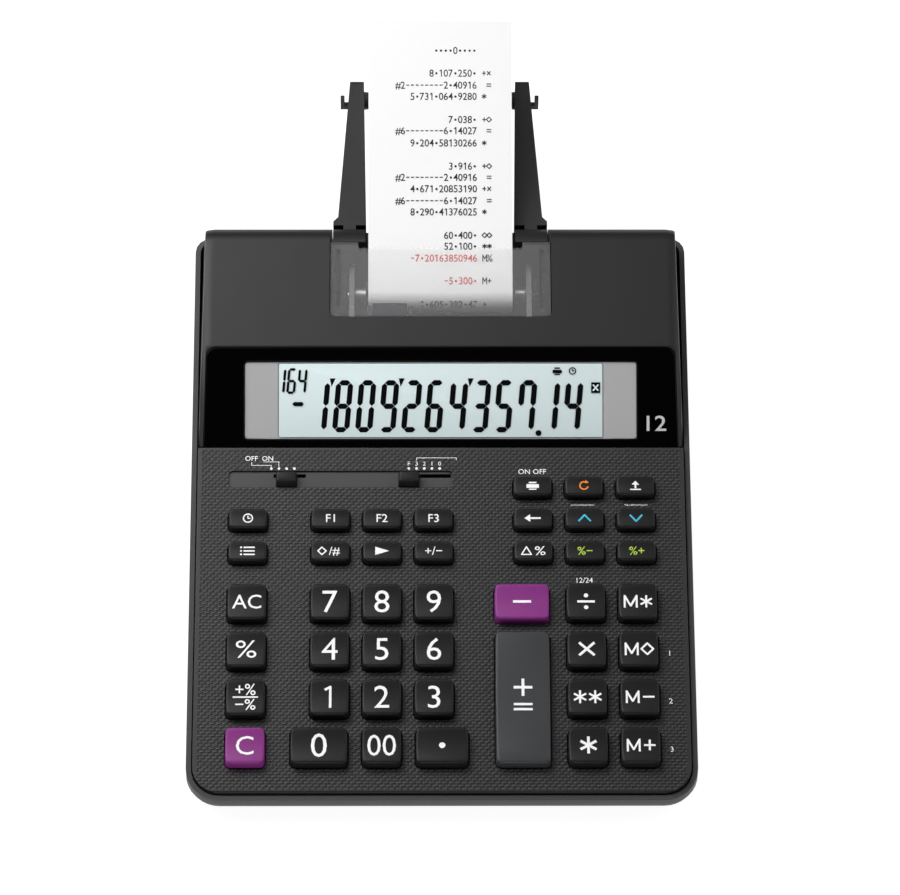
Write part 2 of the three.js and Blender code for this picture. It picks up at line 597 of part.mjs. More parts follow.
/** One switch: knob over the channel, stem through the slot, foot plate under the panel. */
function switchKnob(x) {
  const low = -CHANNEL_DEPTH + FIT;
  const top = low + KNOB_HEIGHT;
  const front = CHANNEL_FRONT + FIT;
  const base = rectangle(x - KNOB_WIDTH / 2, x + KNOB_WIDTH / 2, front, front + KNOB_LENGTH, KNOB_EDGE);
  const crest = rectangle(x - KNOB_WIDTH / 2 + KNOB_EDGE, x + KNOB_WIDTH / 2 - KNOB_EDGE,
    front + KNOB_SLOPE, front + KNOB_LENGTH - KNOB_EDGE, KNOB_EDGE);
  const stemX = x + STEM_OFFSET;
  const under = -WALL - FIT;
  const stem = block(stemX - STEM_WIDTH / 2, stemX + STEM_WIDTH / 2, STEM_FRONT, STEM_FRONT + STEM_LENGTH,
    under - FOOT_PLATE / 2, low + KNOB_HEIGHT / 2);
  const plate = block(stemX - STEM_WIDTH, stemX + STEM_WIDTH, STEM_FRONT - STEM_WIDTH,
    STEM_FRONT + STEM_WIDTH, under - FOOT_PLATE, under);
  return join(on(PANEL, loft([[base, low], [crest, top]])), on(PANEL, stem), on(PANEL, plate));
}

/** Bezel corners in the display frame, larger all round by grow. */
function bezelCorners(grow) {
  const foot = UPPER_SIDE - BEZEL_FOOT_INSET + grow;
  const top = UPPER_SIDE - BEZEL_TOP_INSET + grow;
  const far = DISPLAY_LENGTH - BEZEL_TOP_GAP + grow;
  return [[-foot, FIT - grow], [foot, FIT - grow], [top, far, BEZEL_CORNER], [-top, far, BEZEL_CORNER]];
}

const SURROUND_TOP = DISPLAY_LENGTH - SURROUND_UPPER_MARGIN;
const surroundCorners = (grow, radius = SURROUND_CORNER) => rectangle(-SURROUND_WIDTH / 2 - grow,
  SURROUND_WIDTH / 2 + grow, SURROUND_LOWER_MARGIN - grow, SURROUND_TOP + grow, radius);

/** The gloss plate across the display slope, open over the display module. */
function displayWindow() {
  const plate = upright(bezelCorners(0), -BEZEL_THICKNESS, 0, ROUNDING_STEPS);
  const opening = upright(surroundCorners(0), -OVERRUN, OVERRUN);
  return cut(on(DISPLAY, plate), on(DISPLAY, opening));
}

/** The display module: flange behind the plate, surround in its opening, glass a step proud of it. */
function lcdPanel() {
  const flange = -BEZEL_THICKNESS - FIT;
  const glass = rectangle(-GLASS_WIDTH / 2, GLASS_WIDTH / 2, SURROUND_LOWER_MARGIN + GLASS_MARGIN,
    SURROUND_TOP - GLASS_MARGIN);
  return join(
    on(DISPLAY, upright(surroundCorners(LCD_FLANGE), flange - LCD_DEPTH, flange)),
    on(DISPLAY, upright(surroundCorners(-FIT), flange - FIT, -SURROUND_SINK)),
    on(DISPLAY, upright(glass, flange - FIT, -SURROUND_SINK + GLASS_RISE)));
}

/** The recess for the gloss plate and the opening for the module behind it. */
function displayRecess() {
  return join(
    on(DISPLAY, upright(bezelCorners(FIT), -BEZEL_THICKNESS - FIT, OVERRUN, ROUNDING_STEPS)),
    on(DISPLAY, upright(surroundCorners(LCD_FLANGE + FIT), -OVERRUN / 2, OVERRUN)));
}

/** The recess for the tear window, the printer bay under it and the notch behind it. */
function printerOpening() {
  const half = WINDOW_WIDTH / 2;
  const inner = half + FIT - WINDOW_SEAT;
  const far = WINDOW_END + OVERRUN;
  const recess = upright(rectangle(-half - FIT, half + FIT, WINDOW_SETBACK - FIT, far,
    WINDOW_CORNER + FIT), -WINDOW_THICKNESS - FIT, OVERRUN);
  const bay = upright(rectangle(-inner, inner, WINDOW_SETBACK - FIT + WINDOW_SEAT, far), -OVERRUN, OVERRUN);
  const notchHalf = BRACKET_SIDE + FIT;
  const notch = block(-notchHalf, notchHalf, BRACKET_Y - FIT, BODY_DEPTH + OVERRUN,
    0, TOP_HEIGHT + OVERRUN);
  return join(on(HUMP, recess), on(HUMP, bay), toSolid(notch));
}

/** Places of the case's screw posts, as [x, y]. */
const CASE_POSTS = [FRONT_POST_Y, MIDDLE_POST_Y, BODY_DEPTH - REAR_POST_INSET].flatMap((y) => [
  [UPPER_SIDE - CASE_POST_INSET, y], [CASE_POST_INSET - UPPER_SIDE, y]]);

/** Height of the upper case's outer face on the centre line. */
function topHeight(y) {
  if (y < DISPLAY_Y) return PANEL_HEIGHT + (y - RIM) * Math.tan(PANEL_SLOPE);
  return y < HUMP_Y ? DISPLAY_Z + (y - DISPLAY_Y) * Math.tan(DISPLAY_TILT) : humpHeight(y);
}

/** Posts between the panel and the circuit board, in the free strips between the key columns. */
function boardPosts() {
  const strips = [
    (FUNCTION_X + KEY_WIDTH / 2 + ZERO_X - ZERO_KEY_WIDTH / 2) / 2,
    (POINT_X + POINT_KEY_WIDTH / 2 + OPERATOR_X - OPERATOR_KEY_WIDTH / 2) / 2,
  ];
  const behind = LOW_BLOCK_FRONT - LOW_BLOCK_GAP / 2;
  const places = strips.flatMap((x) => [[x, rowFront(0) + KEY_LENGTH / 2], [x, behind]]);
  places.push([(SIGN_X + MEMORY_X) / 2, behind]);
  return places.map(([x, t]) => on(PANEL, post(x, t, BOARD_POST_RADIUS, -BOARD_DEPTH + FIT, -WALL / 2)));
}

/** The upper case: one shell with key holes, switch channel, display recess and printer bay. */
function upperCase() {
  const shell = cut(upperForm(), upperForm(WALL));
  const posts = CASE_POSTS.map(([x, y]) => toSolid(post(x, y, CASE_POST_RADIUS,
    rimHeight(y) - POST_SPLIT + FIT / 2, topHeight(y) - WALL / 2)));
  const skirted = join(shell.intersect(aboveRim(-RIM_SKIRT)), ...posts, ...boardPosts());
  const trimmed = skirted.intersect(upperForm());
  return cut(trimmed, keyHoles(), switchChannel(), displayRecess(), printerOpening());
}

/** Plan rings of the tub from its foot to its flank, drawn in by a wall. */
function tub(wall, bottom) {
  const heel = FOOT_HEIGHT + TUB_HEEL_HEIGHT + wall;
  const knee = FOOT_HEIGHT + TUB_KNEE_HEIGHT + wall;
  const flank = FOOT_HEIGHT + TUB_FLANK_HEIGHT;
  return loft([
    [plan(TUB_FOOT_INSET + wall), bottom], [plan(TUB_HEEL_INSET + wall), heel],
    [plan(TUB_KNEE_INSET + wall), knee], [plan(wall), flank], [plan(wall), TOP_HEIGHT],
  ], ROUNDING_STEPS);
}

/** Height of the paper's straight lower run at a depth. */
function runHeight(y) {
  const [from, to] = lowerRun();
  return from.z + (to.z - from.z) * (y - from.y) / (to.y - from.y);
}

/** The lower case: tub, feet, screw posts, printer posts, battery bay, feed slot and adaptor socket. */
function lowerCase() {
  const floor = FOOT_HEIGHT + FLOOR;
  const shell = cut(toSolid(tub(0, FOOT_HEIGHT)), toSolid(tub(RIM_LEDGE, floor)), aboveRim(0));
  const footX = BODY_WIDTH / 2 - FOOT_INSET;
  const feet = [-footX, footX].flatMap((x) => [FOOT_INSET, BODY_DEPTH - FOOT_INSET]
    .map((y) => toSolid(post(x, y, FOOT_RADIUS, 0, FOOT_HEIGHT + FOOT_SINK, ROLLER_FACETS))));
  const within = toSolid(tub(RIM_LEDGE / 2, floor - FOOT_SINK));
  const posts = CASE_POSTS.map(([x, y]) => toSolid(post(x, y, CASE_POST_RADIUS,
    floor - FOOT_SINK, rimHeight(y) - POST_SPLIT - FIT / 2)).intersect(within));
  const screwHoles = CASE_POSTS.map(([x, y]) => toSolid(post(x, y, SCREW_HOLE_RADIUS, 0,
    FOOT_HEIGHT + SCREW_HOLE_DEPTH)));
  const frameX = FRAME_OUTER - 2 * FRAME_WALL - BRACKET_POST_RADIUS / 2;
  const frameY = [PLATEN_Y - FRAME_FRONT / 2, PLATEN_Y + FRAME_REAR - FRAME_FRONT / 2];
  const framePosts = [-frameX, frameX].flatMap((x) => frameY.map((y) => toSolid(post(x, y,
    BRACKET_POST_RADIUS, floor - FOOT_SINK, FRAME_Z - FIT))));
  const bracketX = BRACKET_SIDE - BRACKET_POST_RADIUS - RIM;
  const bracketPosts = [-bracketX, bracketX].map((x) => toSolid(post(x, BRACKET_Y + BRACKET_DEPTH / 2,
    BRACKET_POST_RADIUS, floor - FOOT_SINK, rimHeight(BODY_DEPTH) - BRACKET_DROP - FIT)));
  const jackX = BODY_WIDTH / 2 - JACK_INSET;
  const jack = post(jackX, JACK_HEIGHT, JACK_RADIUS, -BODY_DEPTH + RIM_LEDGE / 2, -BODY_DEPTH + JACK_LENGTH)
    .rotateX(QUARTER_TURN);
  const jackBore = post(jackX, JACK_HEIGHT, JACK_BORE, -BODY_DEPTH - OVERRUN, -BODY_DEPTH + JACK_RECESS)
    .rotateX(QUARTER_TURN);
  const bay = block(BAY_X - BAY_WALL, BAY_X + BAY_WIDTH + BAY_WALL, BAY_Y - BAY_WALL,
    BAY_Y + BAY_LENGTH + BAY_WALL, FOOT_HEIGHT, floor + BAY_HEIGHT + BAY_WALL);
  const cells = block(BAY_X + BAY_LEDGE, BAY_X + BAY_WIDTH - BAY_LEDGE, BAY_Y + BAY_LEDGE,
    BAY_Y + BAY_LENGTH - BAY_LEDGE, 0, floor + BAY_HEIGHT);
  const doorway = block(BAY_X, BAY_X + BAY_WIDTH, BAY_Y, BAY_Y + BAY_LENGTH, 0,
    FOOT_HEIGHT + DOOR_THICKNESS + FIT);
  const slotHalf = PAPER_WIDTH / 2 + FEED_SLOT_MARGIN;
  const feedHeight = runHeight(BODY_DEPTH - RIM_LEDGE / 2);
  const slot = block(-slotHalf, slotHalf, UPPER_REAR - RIM_GROOVE, BODY_DEPTH + OVERRUN,
    feedHeight - FEED_SLOT_HEIGHT / 2, feedHeight + FEED_SLOT_HEIGHT / 2);
  const whole = join(shell, ...feet, ...posts, ...framePosts, ...bracketPosts, toSolid(bay), toSolid(jack));
  return cut(whole, toSolid(cells), toSolid(doorway), toSolid(slot), toSolid(jackBore), ...screwHoles);
}

/** The battery door: a plate flush with the floor, ribbed inside, with grip grooves outside. */
function batteryCover() {
  const [x0, x1] = [BAY_X + FIT, BAY_X + BAY_WIDTH - FIT];
  const [y0, y1] = [BAY_Y + FIT, BAY_Y + BAY_LENGTH - FIT];
  const plate = block(x0, x1, y0, y1, FOOT_HEIGHT, FOOT_HEIGHT + DOOR_THICKNESS);
  const inset = BAY_LEDGE + DOOR_RIB_HEIGHT;
  const ribs = Array.from({ length: DOOR_RIB_COUNT }, (_, i) => {
    const y = THREE.MathUtils.lerp(y0 + 2 * inset, y1 - 2 * inset, i / (DOOR_RIB_COUNT - FIRST_STEP));
    return toSolid(block(x0 + inset, x1 - inset, y - DOOR_RIB_WIDTH / 2, y + DOOR_RIB_WIDTH / 2,
      FOOT_HEIGHT + DOOR_THICKNESS / 2, FOOT_HEIGHT + DOOR_THICKNESS + DOOR_RIB_HEIGHT));
  });
  const middle = (x0 + x1) / 2;
  const grips = Array.from({ length: GRIP_COUNT }, (_, i) => {
    const y = y1 - (i + FIRST_STEP) * 2 * DOOR_RIB_WIDTH;
    return toSolid(block(middle - CELL_DIAMETER / 2, middle + CELL_DIAMETER / 2, y - DOOR_RIB_WIDTH, y,
      0, FOOT_HEIGHT + GRIP_DEPTH));
  });
  return cut(join(toSolid(plate), ...ribs), ...grips);
}

/** The circuit board in the panel's slope, with its chips between the key columns. */
function circuitBoard() {
  const side = UPPER_SIDE - BOARD_SIDE;
  const board = upright(rectangle(-side, side, BOARD_FRONT, PANEL_LENGTH - BOARD_REAR),
    -BOARD_BOTTOM, -BOARD_DEPTH);
  const chipX = (FUNCTION_X + DIGIT_X) / 2;
  const chips = [rowFront(1), rowFront(2)].map((t) => on(PANEL, block(
    chipX - CHIP_WIDTH / 2, chipX + CHIP_WIDTH / 2, t, t + CHIP_LENGTH,
    -BOARD_DEPTH - BOARD_THICKNESS / 2, -BOARD_DEPTH + CHIP_HEIGHT)));
  return join(on(PANEL, board), ...chips);
}

/** The smoked window: plate with a toothed tear edge between two flanges, and a skirt on each side. */
function tearWindow() {
  const half = WINDOW_WIDTH / 2;
  const tear = TEAR_WIDTH / 2;
  const pitch = TEAR_WIDTH / TOOTH_COUNT;
  const teeth = Array.from({ length: 2 * TOOTH_COUNT + FIRST_STEP }, (_, i) => (
    [tear - i * pitch / 2, EXIT_U - (i % 2) * TOOTH_DEPTH]));
  const corners = [
    [-half, WINDOW_SETBACK, WINDOW_CORNER], [half, WINDOW_SETBACK, WINDOW_CORNER], [half, WINDOW_END],
    [tear, WINDOW_END], ...teeth, [-tear, WINDOW_END], [-half, WINDOW_END],
  ];
  const skirtSide = half - WINDOW_SEAT - FIT;
  const skirts = [-FIRST_STEP, FIRST_STEP].map((side) => {
    const edges = [side * skirtSide, side * (skirtSide - WINDOW_SKIRT_WALL)].sort((a, b) => a - b);
    return on(HUMP, block(...edges, WINDOW_SETBACK + 2 * WINDOW_SEAT, EXIT_U,
      -WINDOW_THICKNESS - WINDOW_SKIRT, -WINDOW_THICKNESS / 2));
  });
  return join(on(HUMP, upright(corners, -WINDOW_THICKNESS, 0, ROUNDING_STEPS)), ...skirts);
}

/** The bracket that fills the notch: throats for the paper, and a pocket for each arm's knuckle. */
function rollBracket() {
  const front = line(BRACKET_Y, 0, QUARTER_TURN);
  const top = line(HUMP_Y, HUMP_Z, HUMP_SLOPE, BRACKET_SINK);
  const rear = line(UPPER_REAR, 0, -QUARTER_TURN);
  const low = rimHeight(BODY_DEPTH) - BRACKET_DROP;
  const body = across([[BRACKET_Y, low], meet(front, top), [...meet(top, rear), BRACKET_ROUNDING],
    [UPPER_REAR, low]], -BRACKET_SIDE, BRACKET_SIDE);
  const throatHalf = PAPER_WIDTH / 2 + FEED_SLOT_MARGIN / 2;
  const throat = block(-throatHalf, throatHalf, 0, BODY_DEPTH + OVERRUN,
    humpHeight(BRACKET_Y) - BRACKET_THROAT, TOP_HEIGHT + OVERRUN);
  const relief = across([[0, 0], [BODY_DEPTH, 0], ...[BODY_DEPTH, BRACKET_Y - BRACKET_DEPTH].map((y) => (
    [y, runHeight(y) + FEED_SLOT_HEIGHT / 2]))], -throatHalf, throatHalf);
  const pockets = [-FIRST_STEP, FIRST_STEP].map((side) => {
    const [z0, z1] = [ARM_Z - FIT, ARM_Z + ARM_HEIGHT + FIT];
    const mouth = NECK_WIDTH / 2 + ARM_SPREAD_CLEARANCE;
    return join(
      toSolid(post(side * KNUCKLE_X, KNUCKLE_Y, KNUCKLE_RADIUS + KNUCKLE_GAP, z0, z1)),
      toSolid(block(side * KNUCKLE_X - mouth, side * KNUCKLE_X + mouth,
        KNUCKLE_Y + KNUCKLE_RADIUS / 2, BODY_DEPTH + OVERRUN, z0, z1)));
  });
  return cut(toSolid(body), toSolid(throat), toSolid(relief), ...pockets);
}

/** One roll arm, on the side of its sign: knuckle, neck, tapered strap, inner peg and outer hook. */
function rollArm(side) {
  const start = UPPER_REAR + ARM_SPREAD_CLEARANCE;
  const tipInner = ARM_INNER + ARM_SPLAY;
  const tipOuter = tipInner + ARM_TIP_WIDTH;
  const neckIn = KNUCKLE_X - NECK_WIDTH / 2;
  const neckOut = KNUCKLE_X + NECK_WIDTH / 2;
  const corners = [
    [neckIn, KNUCKLE_Y], [neckOut, KNUCKLE_Y], [neckOut, start], [ARM_OUTER + ARM_FLARE, start],
    [ARM_OUTER + ARM_FLARE, start + ARM_FLARE], [ARM_OUTER, start + ARM_FLARE_LENGTH],
    [tipOuter, ARM_TIP_Y, ARM_EDGE], [tipInner, ARM_TIP_Y, ARM_EDGE], [ARM_INNER, start], [neckIn, start],
  ].map(([x, y, radius = 0]) => [side * x, y, radius]);
  const strap = toSolid(upright(corners, ARM_Z, ARM_Z + ARM_HEIGHT));
  const sideView = toSolid(across([
    [BRACKET_Y, ARM_Z, 0], [ARM_TIP_Y, ARM_Z, ARM_EDGE], [ARM_TIP_Y, ARM_Z + ARM_HEIGHT, ARM_END_ROUNDING],
    [BRACKET_Y, ARM_Z + ARM_HEIGHT, 0],
  ], -BODY_WIDTH, BODY_WIDTH));
  const knuckle = toSolid(post(side * KNUCKLE_X, KNUCKLE_Y, KNUCKLE_RADIUS, ARM_Z, ARM_Z + ARM_HEIGHT));
  const faceIn = THREE.MathUtils.lerp(ARM_INNER, tipInner, (ROLL_Y - start) / (ARM_TIP_Y - start));
  const pegTip = side * (faceIn - PEG_LENGTH);
  const pegRoot = side * (faceIn + ARM_EDGE);
  const [x0, x1] = [pegTip, pegRoot].sort((a, b) => a - b);
  const [r0, r1] = side > 0 ? [PEG_RADIUS, PEG_TIP_RADIUS] : [PEG_TIP_RADIUS, PEG_RADIUS];
  const peg = toSolid(rod(ROLL_Y, ROLL_Z, r1, x0, x1, ROUND_FACETS, r0));
  const hookY = ARM_TIP_Y - HOOK_FROM_TIP;
  const hookZ = ROLL_Z - HOOK_BAR;
  const root = tipInner + ARM_TIP_WIDTH / 2;
  const reach = tipOuter + HOOK_REACH;
  const [b0, b1] = [side * root, side * reach].sort((a, b) => a - b);
  const [p0, p1] = [side * (reach - HOOK_POST), side * reach].sort((a, b) => a - b);
  const [h0, h1] = [hookY - HOOK_BAR / 2, hookY + HOOK_BAR / 2];
  const hook = join(
    toSolid(block(b0, b1, h0, h1, hookZ, hookZ + HOOK_BAR)),
    toSolid(block(p0, p1, h0, h1, hookZ, hookZ + HOOK_BAR + HOOK_RISE)));
  return join(strap.intersect(sideView), knuckle, peg, hook);
}

/** The paper roll: wound paper on a core whose bore turns on the arms' pegs. */
function paperRoll() {
  const half = PAPER_WIDTH / 2;
  const bore = PEG_RADIUS + SHAFT_GAP;
  const profile = [
    [bore, -half], [CORE_RADIUS, -half], [CORE_RADIUS, -half + CORE_STEP], [ROLL_RADIUS, -half + CORE_STEP],
    [ROLL_RADIUS, half - CORE_STEP], [CORE_RADIUS, half - CORE_STEP], [CORE_RADIUS, half], [bore, half],
    [bore, -half],
  ].map(([r, x]) => new THREE.Vector2(r, x));
  return toSolid(new THREE.LatheGeometry(profile, ROLL_FACETS).rotateZ(-QUARTER_TURN)
    .translate(0, ROLL_Y, ROLL_Z));
}

/** The straight run under the case: the tangent common to the roll and the platen, below both. */
function lowerRun() {
  const rollRadius = ROLL_RADIUS + FIT + PAPER_THICKNESS / 2;
  const span = Math.hypot(ROLL_Y - PLATEN_Y, ROLL_Z - PLATEN_Z);
  const lean = Math.atan2(ROLL_Z - PLATEN_Z, ROLL_Y - PLATEN_Y);
  const angle = lean - QUARTER_TURN - Math.asin((rollRadius - WRAP_RADIUS) / span);
  const touch = (y, z, radius) => (
    { y: y + radius * Math.cos(angle), z: z + radius * Math.sin(angle), angle });
  return [touch(ROLL_Y, ROLL_Z, rollRadius), touch(PLATEN_Y, PLATEN_Z, WRAP_RADIUS)];
}

/** Middle line of the paper from the roll, round the platen and out past the tear edge. */
function paperPath() {
  const [fromRoll, toPlaten] = lowerRun();
  const arc = (y, z, radius, start, end, steps) => Array.from({ length: steps + FIRST_STEP }, (_, i) => {
    const angle = THREE.MathUtils.lerp(start, end, i / steps);
    return new THREE.Vector2(y + radius * Math.cos(angle), z + radius * Math.sin(angle));
  });
  const rollRadius = ROLL_RADIUS + FIT + PAPER_THICKNESS / 2;
  const last = QUARTER_TURN + PAPER_RISE;
  const bend = PAPER_SHOWN / PAPER_CURL;
  const bendStart = PAPER_RISE - QUARTER_TURN;
  const bendY = EXIT_Y - bend * Math.sin(PAPER_RISE);
  const bendZ = EXIT_Z + bend * Math.cos(PAPER_RISE);
  return [
    ...arc(ROLL_Y, ROLL_Z, rollRadius, fromRoll.angle + QUARTER_TURN / 2, fromRoll.angle, PAPER_STEPS / 2),
    ...arc(PLATEN_Y, PLATEN_Z, WRAP_RADIUS, toPlaten.angle, last - 2 * Math.PI, PAPER_STEPS),
    ...arc(bendY, bendZ, bend, bendStart, bendStart + PAPER_CURL, PAPER_STEPS / 2),
  ];
}

/** The paper strip: the path given its thickness and drawn out to its width. */
function paperStrip() {
  const path = paperPath();
  const edge = (sign) => path.map((point, i) => {
    const before = path[Math.max(i - FIRST_STEP, 0)];
    const after = path[Math.min(i + FIRST_STEP, path.length - FIRST_STEP)];
    const along = after.clone().sub(before).normalize();
    return [point.x - sign * along.y * PAPER_THICKNESS / 2, point.y + sign * along.x * PAPER_THICKNESS / 2];
  });
  const outline = [...edge(FIRST_STEP), ...edge(-FIRST_STEP).reverse()];
  return toSolid(across(outline, -PAPER_WIDTH / 2, PAPER_WIDTH / 2));
}

/** A toothed wheel drawn in Y and Z about its own centre. */
function gearCorners(y, z) {
  return Array.from({ length: 4 * GEAR_TEETH }, (_, i) => {
    const angle = (i / (4 * GEAR_TEETH)) * 2 * Math.PI;
    const radius = i % 4 < 2 ? GEAR_RADIUS : GEAR_RADIUS - TOOTH_HEIGHT;
    return [y + radius * Math.cos(angle), z + radius * Math.sin(angle)];
  });
}

/** The platen: rubber roller on its shaft, with the feed gear outside the frame. */
function platenRoller() {
  const rubber = PAPER_WIDTH / 2 + ROLLER_SIDE_MARGIN;
  const gearX = FRAME_OUTER + GEAR_GAP;
  const roller = rod(PLATEN_Y, PLATEN_Z, PLATEN_RADIUS, -rubber, rubber, ROLLER_FACETS);
  const collar = rod(PLATEN_Y, PLATEN_Z, 2 * SHAFT_RADIUS, -FRAME_INNER + FIT, FRAME_INNER - FIT);
  const shaft = rod(PLATEN_Y, PLATEN_Z, SHAFT_RADIUS, -FRAME_OUTER - GEAR_GAP,
    gearX + GEAR_WIDTH + GEAR_GAP);
  const gear = across(gearCorners(PLATEN_Y, PLATEN_Z), gearX, gearX + GEAR_WIDTH);
  return join(...[roller, collar, shaft, gear].map(toSolid));
}

const INK_Y = PLATEN_Y - INK_SETBACK;
const INK_Z = PLATEN_Z + INK_RISE;
const CARRIAGE_REAR = PLATEN_Y - PLATEN_RADIUS - PAPER_THICKNESS - FIT - CARRIAGE_GAP;

/** The printer frame: base, side plates, rail, and the carriage with the ink roller's pin. */
function printerFrame() {
  const [y0, y1] = [PLATEN_Y - FRAME_FRONT, PLATEN_Y + FRAME_REAR];
  const base = block(-FRAME_OUTER, FRAME_OUTER, y0, y1, FRAME_Z, FRAME_Z + FRAME_WALL);
  const plate = [[y0, FRAME_Z], [y1, FRAME_Z], [y1, PLATEN_Z],
    [PLATEN_Y + PLATEN_RADIUS, PLATEN_Z + FRAME_RISE], [y0, PLATEN_Z + FRAME_RISE]];
  const sides = [[-FRAME_OUTER, -FRAME_INNER], [FRAME_INNER, FRAME_OUTER]];
  const plates = sides.map(([x0, x1]) => toSolid(across(plate, x0, x1)));
  const bearing = rod(PLATEN_Y, PLATEN_Z, SHAFT_RADIUS + SHAFT_GAP, -BODY_WIDTH / 2, BODY_WIDTH / 2);
  const rail = rod(PLATEN_Y - RAIL_SETBACK, PLATEN_Z - RAIL_DROP, RAIL_RADIUS, -FRAME_OUTER, FRAME_OUTER);
  const [x0, x1] = [CARRIAGE_X - CARRIAGE_WIDTH / 2, CARRIAGE_X + CARRIAGE_WIDTH / 2];
  const railZ = PLATEN_Z - RAIL_DROP;
  const carriage = block(x0, x1, CARRIAGE_REAR - CARRIAGE_DEPTH, CARRIAGE_REAR,
    railZ - CARRIAGE_HEIGHT / 2, railZ + CARRIAGE_HEIGHT / 2 - RAIL_RADIUS);
  const ears = [x0, x1 - EAR_THICKNESS].map((x) => toSolid(block(x, x + EAR_THICKNESS,
    INK_Y - EAR_WIDTH / 2, INK_Y + EAR_WIDTH / 2, railZ, INK_Z + EAR_WIDTH / 2)));
  const pin = rod(INK_Y, INK_Z, INK_PIN_RADIUS, x0 + EAR_THICKNESS / 2, x1 - EAR_THICKNESS / 2);
  return join(cut(join(toSolid(base), ...plates), toSolid(bearing)), toSolid(rail), toSolid(carriage),
    ...ears, toSolid(pin));
}

/** The ink roller on the carriage's pin. */
function inkRoller() {
  const x0 = CARRIAGE_X - CARRIAGE_WIDTH / 2 + EAR_THICKNESS + FIT;
  const x1 = CARRIAGE_X + CARRIAGE_WIDTH / 2 - EAR_THICKNESS - FIT;
  return cut(toSolid(rod(INK_Y, INK_Z, INK_RADIUS, x0, x1, ROLLER_FACETS)),
    toSolid(rod(INK_Y, INK_Z, INK_PIN_RADIUS + SHAFT_GAP, x0 - OVERRUN, x1 + OVERRUN)));
}

/** A named mesh in its finish. */
function part(name, solid, finish) {
  const [color, roughness, metalness] = FINISHES[finish];
  const clear = finish === 'smoke' ? { transparent: true, opacity: SMOKE_OPACITY } : {};
  const material = new THREE.MeshStandardMaterial({ color, roughness, metalness, ...clear });
  const mesh = new THREE.Mesh(toGeometry(solid), material);
  mesh.name = name;
  return mesh;
}

const calculator = new THREE.Group();
calculator.add(
  part('upper_case', upperCase(), 'case'),
  part('lower_case', lowerCase(), 'rim'),
  part('battery_cover', batteryCover(), 'rim'),
  part('circuit_board', circuitBoard(), 'board'),
  part('display_window', displayWindow(), 'gloss'),
  part('lcd_panel', lcdPanel(), 'silver'),
  part('tear_window', tearWindow(), 'smoke'),
  part('roll_bracket', rollBracket(), 'case'),
  part('roll_arm_left', rollArm(-FIRST_STEP), 'rim'),
  part('roll_arm_right', rollArm(FIRST_STEP), 'rim'),
  part('paper_roll', paperRoll(), 'paper'),
  part('paper_strip', paperStrip(), 'paper'),
  part('platen_roller', platenRoller(), 'rubber'),
  part('printer_frame', printerFrame(), 'steel'),
  part('ink_roller', inkRoller(), 'ink'),
  ...SWITCHES.map(([name, x]) => part(name, switchKnob(x), 'key')),
  ...keyList().map(([name, x, front, width, length, height, finish]) => (
    part(name, keyCap(x, front, width, length, height), finish))),
);
calculator.position.y = -(ROLL_Y + ROLL_RADIUS) / 2;

export default calculator;
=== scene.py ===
"""Looks of a desk printing calculator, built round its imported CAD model.

Sizes are in millimetres from the case's front edge (Y), the middle (X) and the table (Z). Each mesh is
turned to metres in the row frame once it is whole.
"""

import json
import logging
import math
from dataclasses import dataclass, field
from enum import Enum

import bmesh
import bpy
from mathutils import Matrix, Vector

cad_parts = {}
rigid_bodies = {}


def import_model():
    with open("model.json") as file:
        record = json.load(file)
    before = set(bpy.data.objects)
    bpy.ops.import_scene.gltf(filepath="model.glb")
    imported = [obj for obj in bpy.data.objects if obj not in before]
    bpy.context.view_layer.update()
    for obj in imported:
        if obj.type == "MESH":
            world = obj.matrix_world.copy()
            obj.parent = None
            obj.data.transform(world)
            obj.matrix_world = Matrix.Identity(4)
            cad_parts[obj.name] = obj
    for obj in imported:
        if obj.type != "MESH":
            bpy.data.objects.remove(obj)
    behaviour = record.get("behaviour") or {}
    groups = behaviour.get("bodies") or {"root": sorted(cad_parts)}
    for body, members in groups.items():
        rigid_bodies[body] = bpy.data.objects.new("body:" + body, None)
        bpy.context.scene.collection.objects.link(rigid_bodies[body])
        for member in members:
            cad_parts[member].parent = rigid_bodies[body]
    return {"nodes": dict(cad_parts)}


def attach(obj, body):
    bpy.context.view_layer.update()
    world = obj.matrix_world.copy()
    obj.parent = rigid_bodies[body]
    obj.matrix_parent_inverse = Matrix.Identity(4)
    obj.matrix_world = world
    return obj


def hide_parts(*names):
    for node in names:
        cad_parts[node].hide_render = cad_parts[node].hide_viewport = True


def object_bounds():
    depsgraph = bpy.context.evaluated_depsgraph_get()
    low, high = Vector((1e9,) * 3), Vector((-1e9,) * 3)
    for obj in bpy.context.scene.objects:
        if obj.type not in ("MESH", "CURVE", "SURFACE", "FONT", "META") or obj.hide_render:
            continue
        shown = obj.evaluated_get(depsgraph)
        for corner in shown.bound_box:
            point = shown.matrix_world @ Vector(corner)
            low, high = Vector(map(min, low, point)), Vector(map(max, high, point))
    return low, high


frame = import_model()
CAD_BOX = [list(corner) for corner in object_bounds()]
LOG = logging.getLogger("calculator")

MM = 0.001
SHIFT = -CAD_BOX[0][1] / MM
TO_ROW = Matrix.Scale(MM, 4) @ Matrix.Translation((0, -SHIFT, 0))
AXIS_X = (1, 0, 0)
AXIS_Z = (0, 0, 1)
# Height of a capital as a share of the lettering's size.
CAP_SHARE = 0.69
# Height of print over its surface, and of each mark over the one before it.
LIFT = 0.03
LIFT_STEP = 0.003
# Length of a dash of the woven panel, and the distance of its rows.
DASH = 2.5
ROW = 1.29
# Corner radii are drawn with this many pieces.
CORNER_STEPS = 4
# An edge whose faces turn further than this, in degrees, is sharp; beyond the second angle it is rounded.
SHARP = 38.0
ROUNDED = 35.0
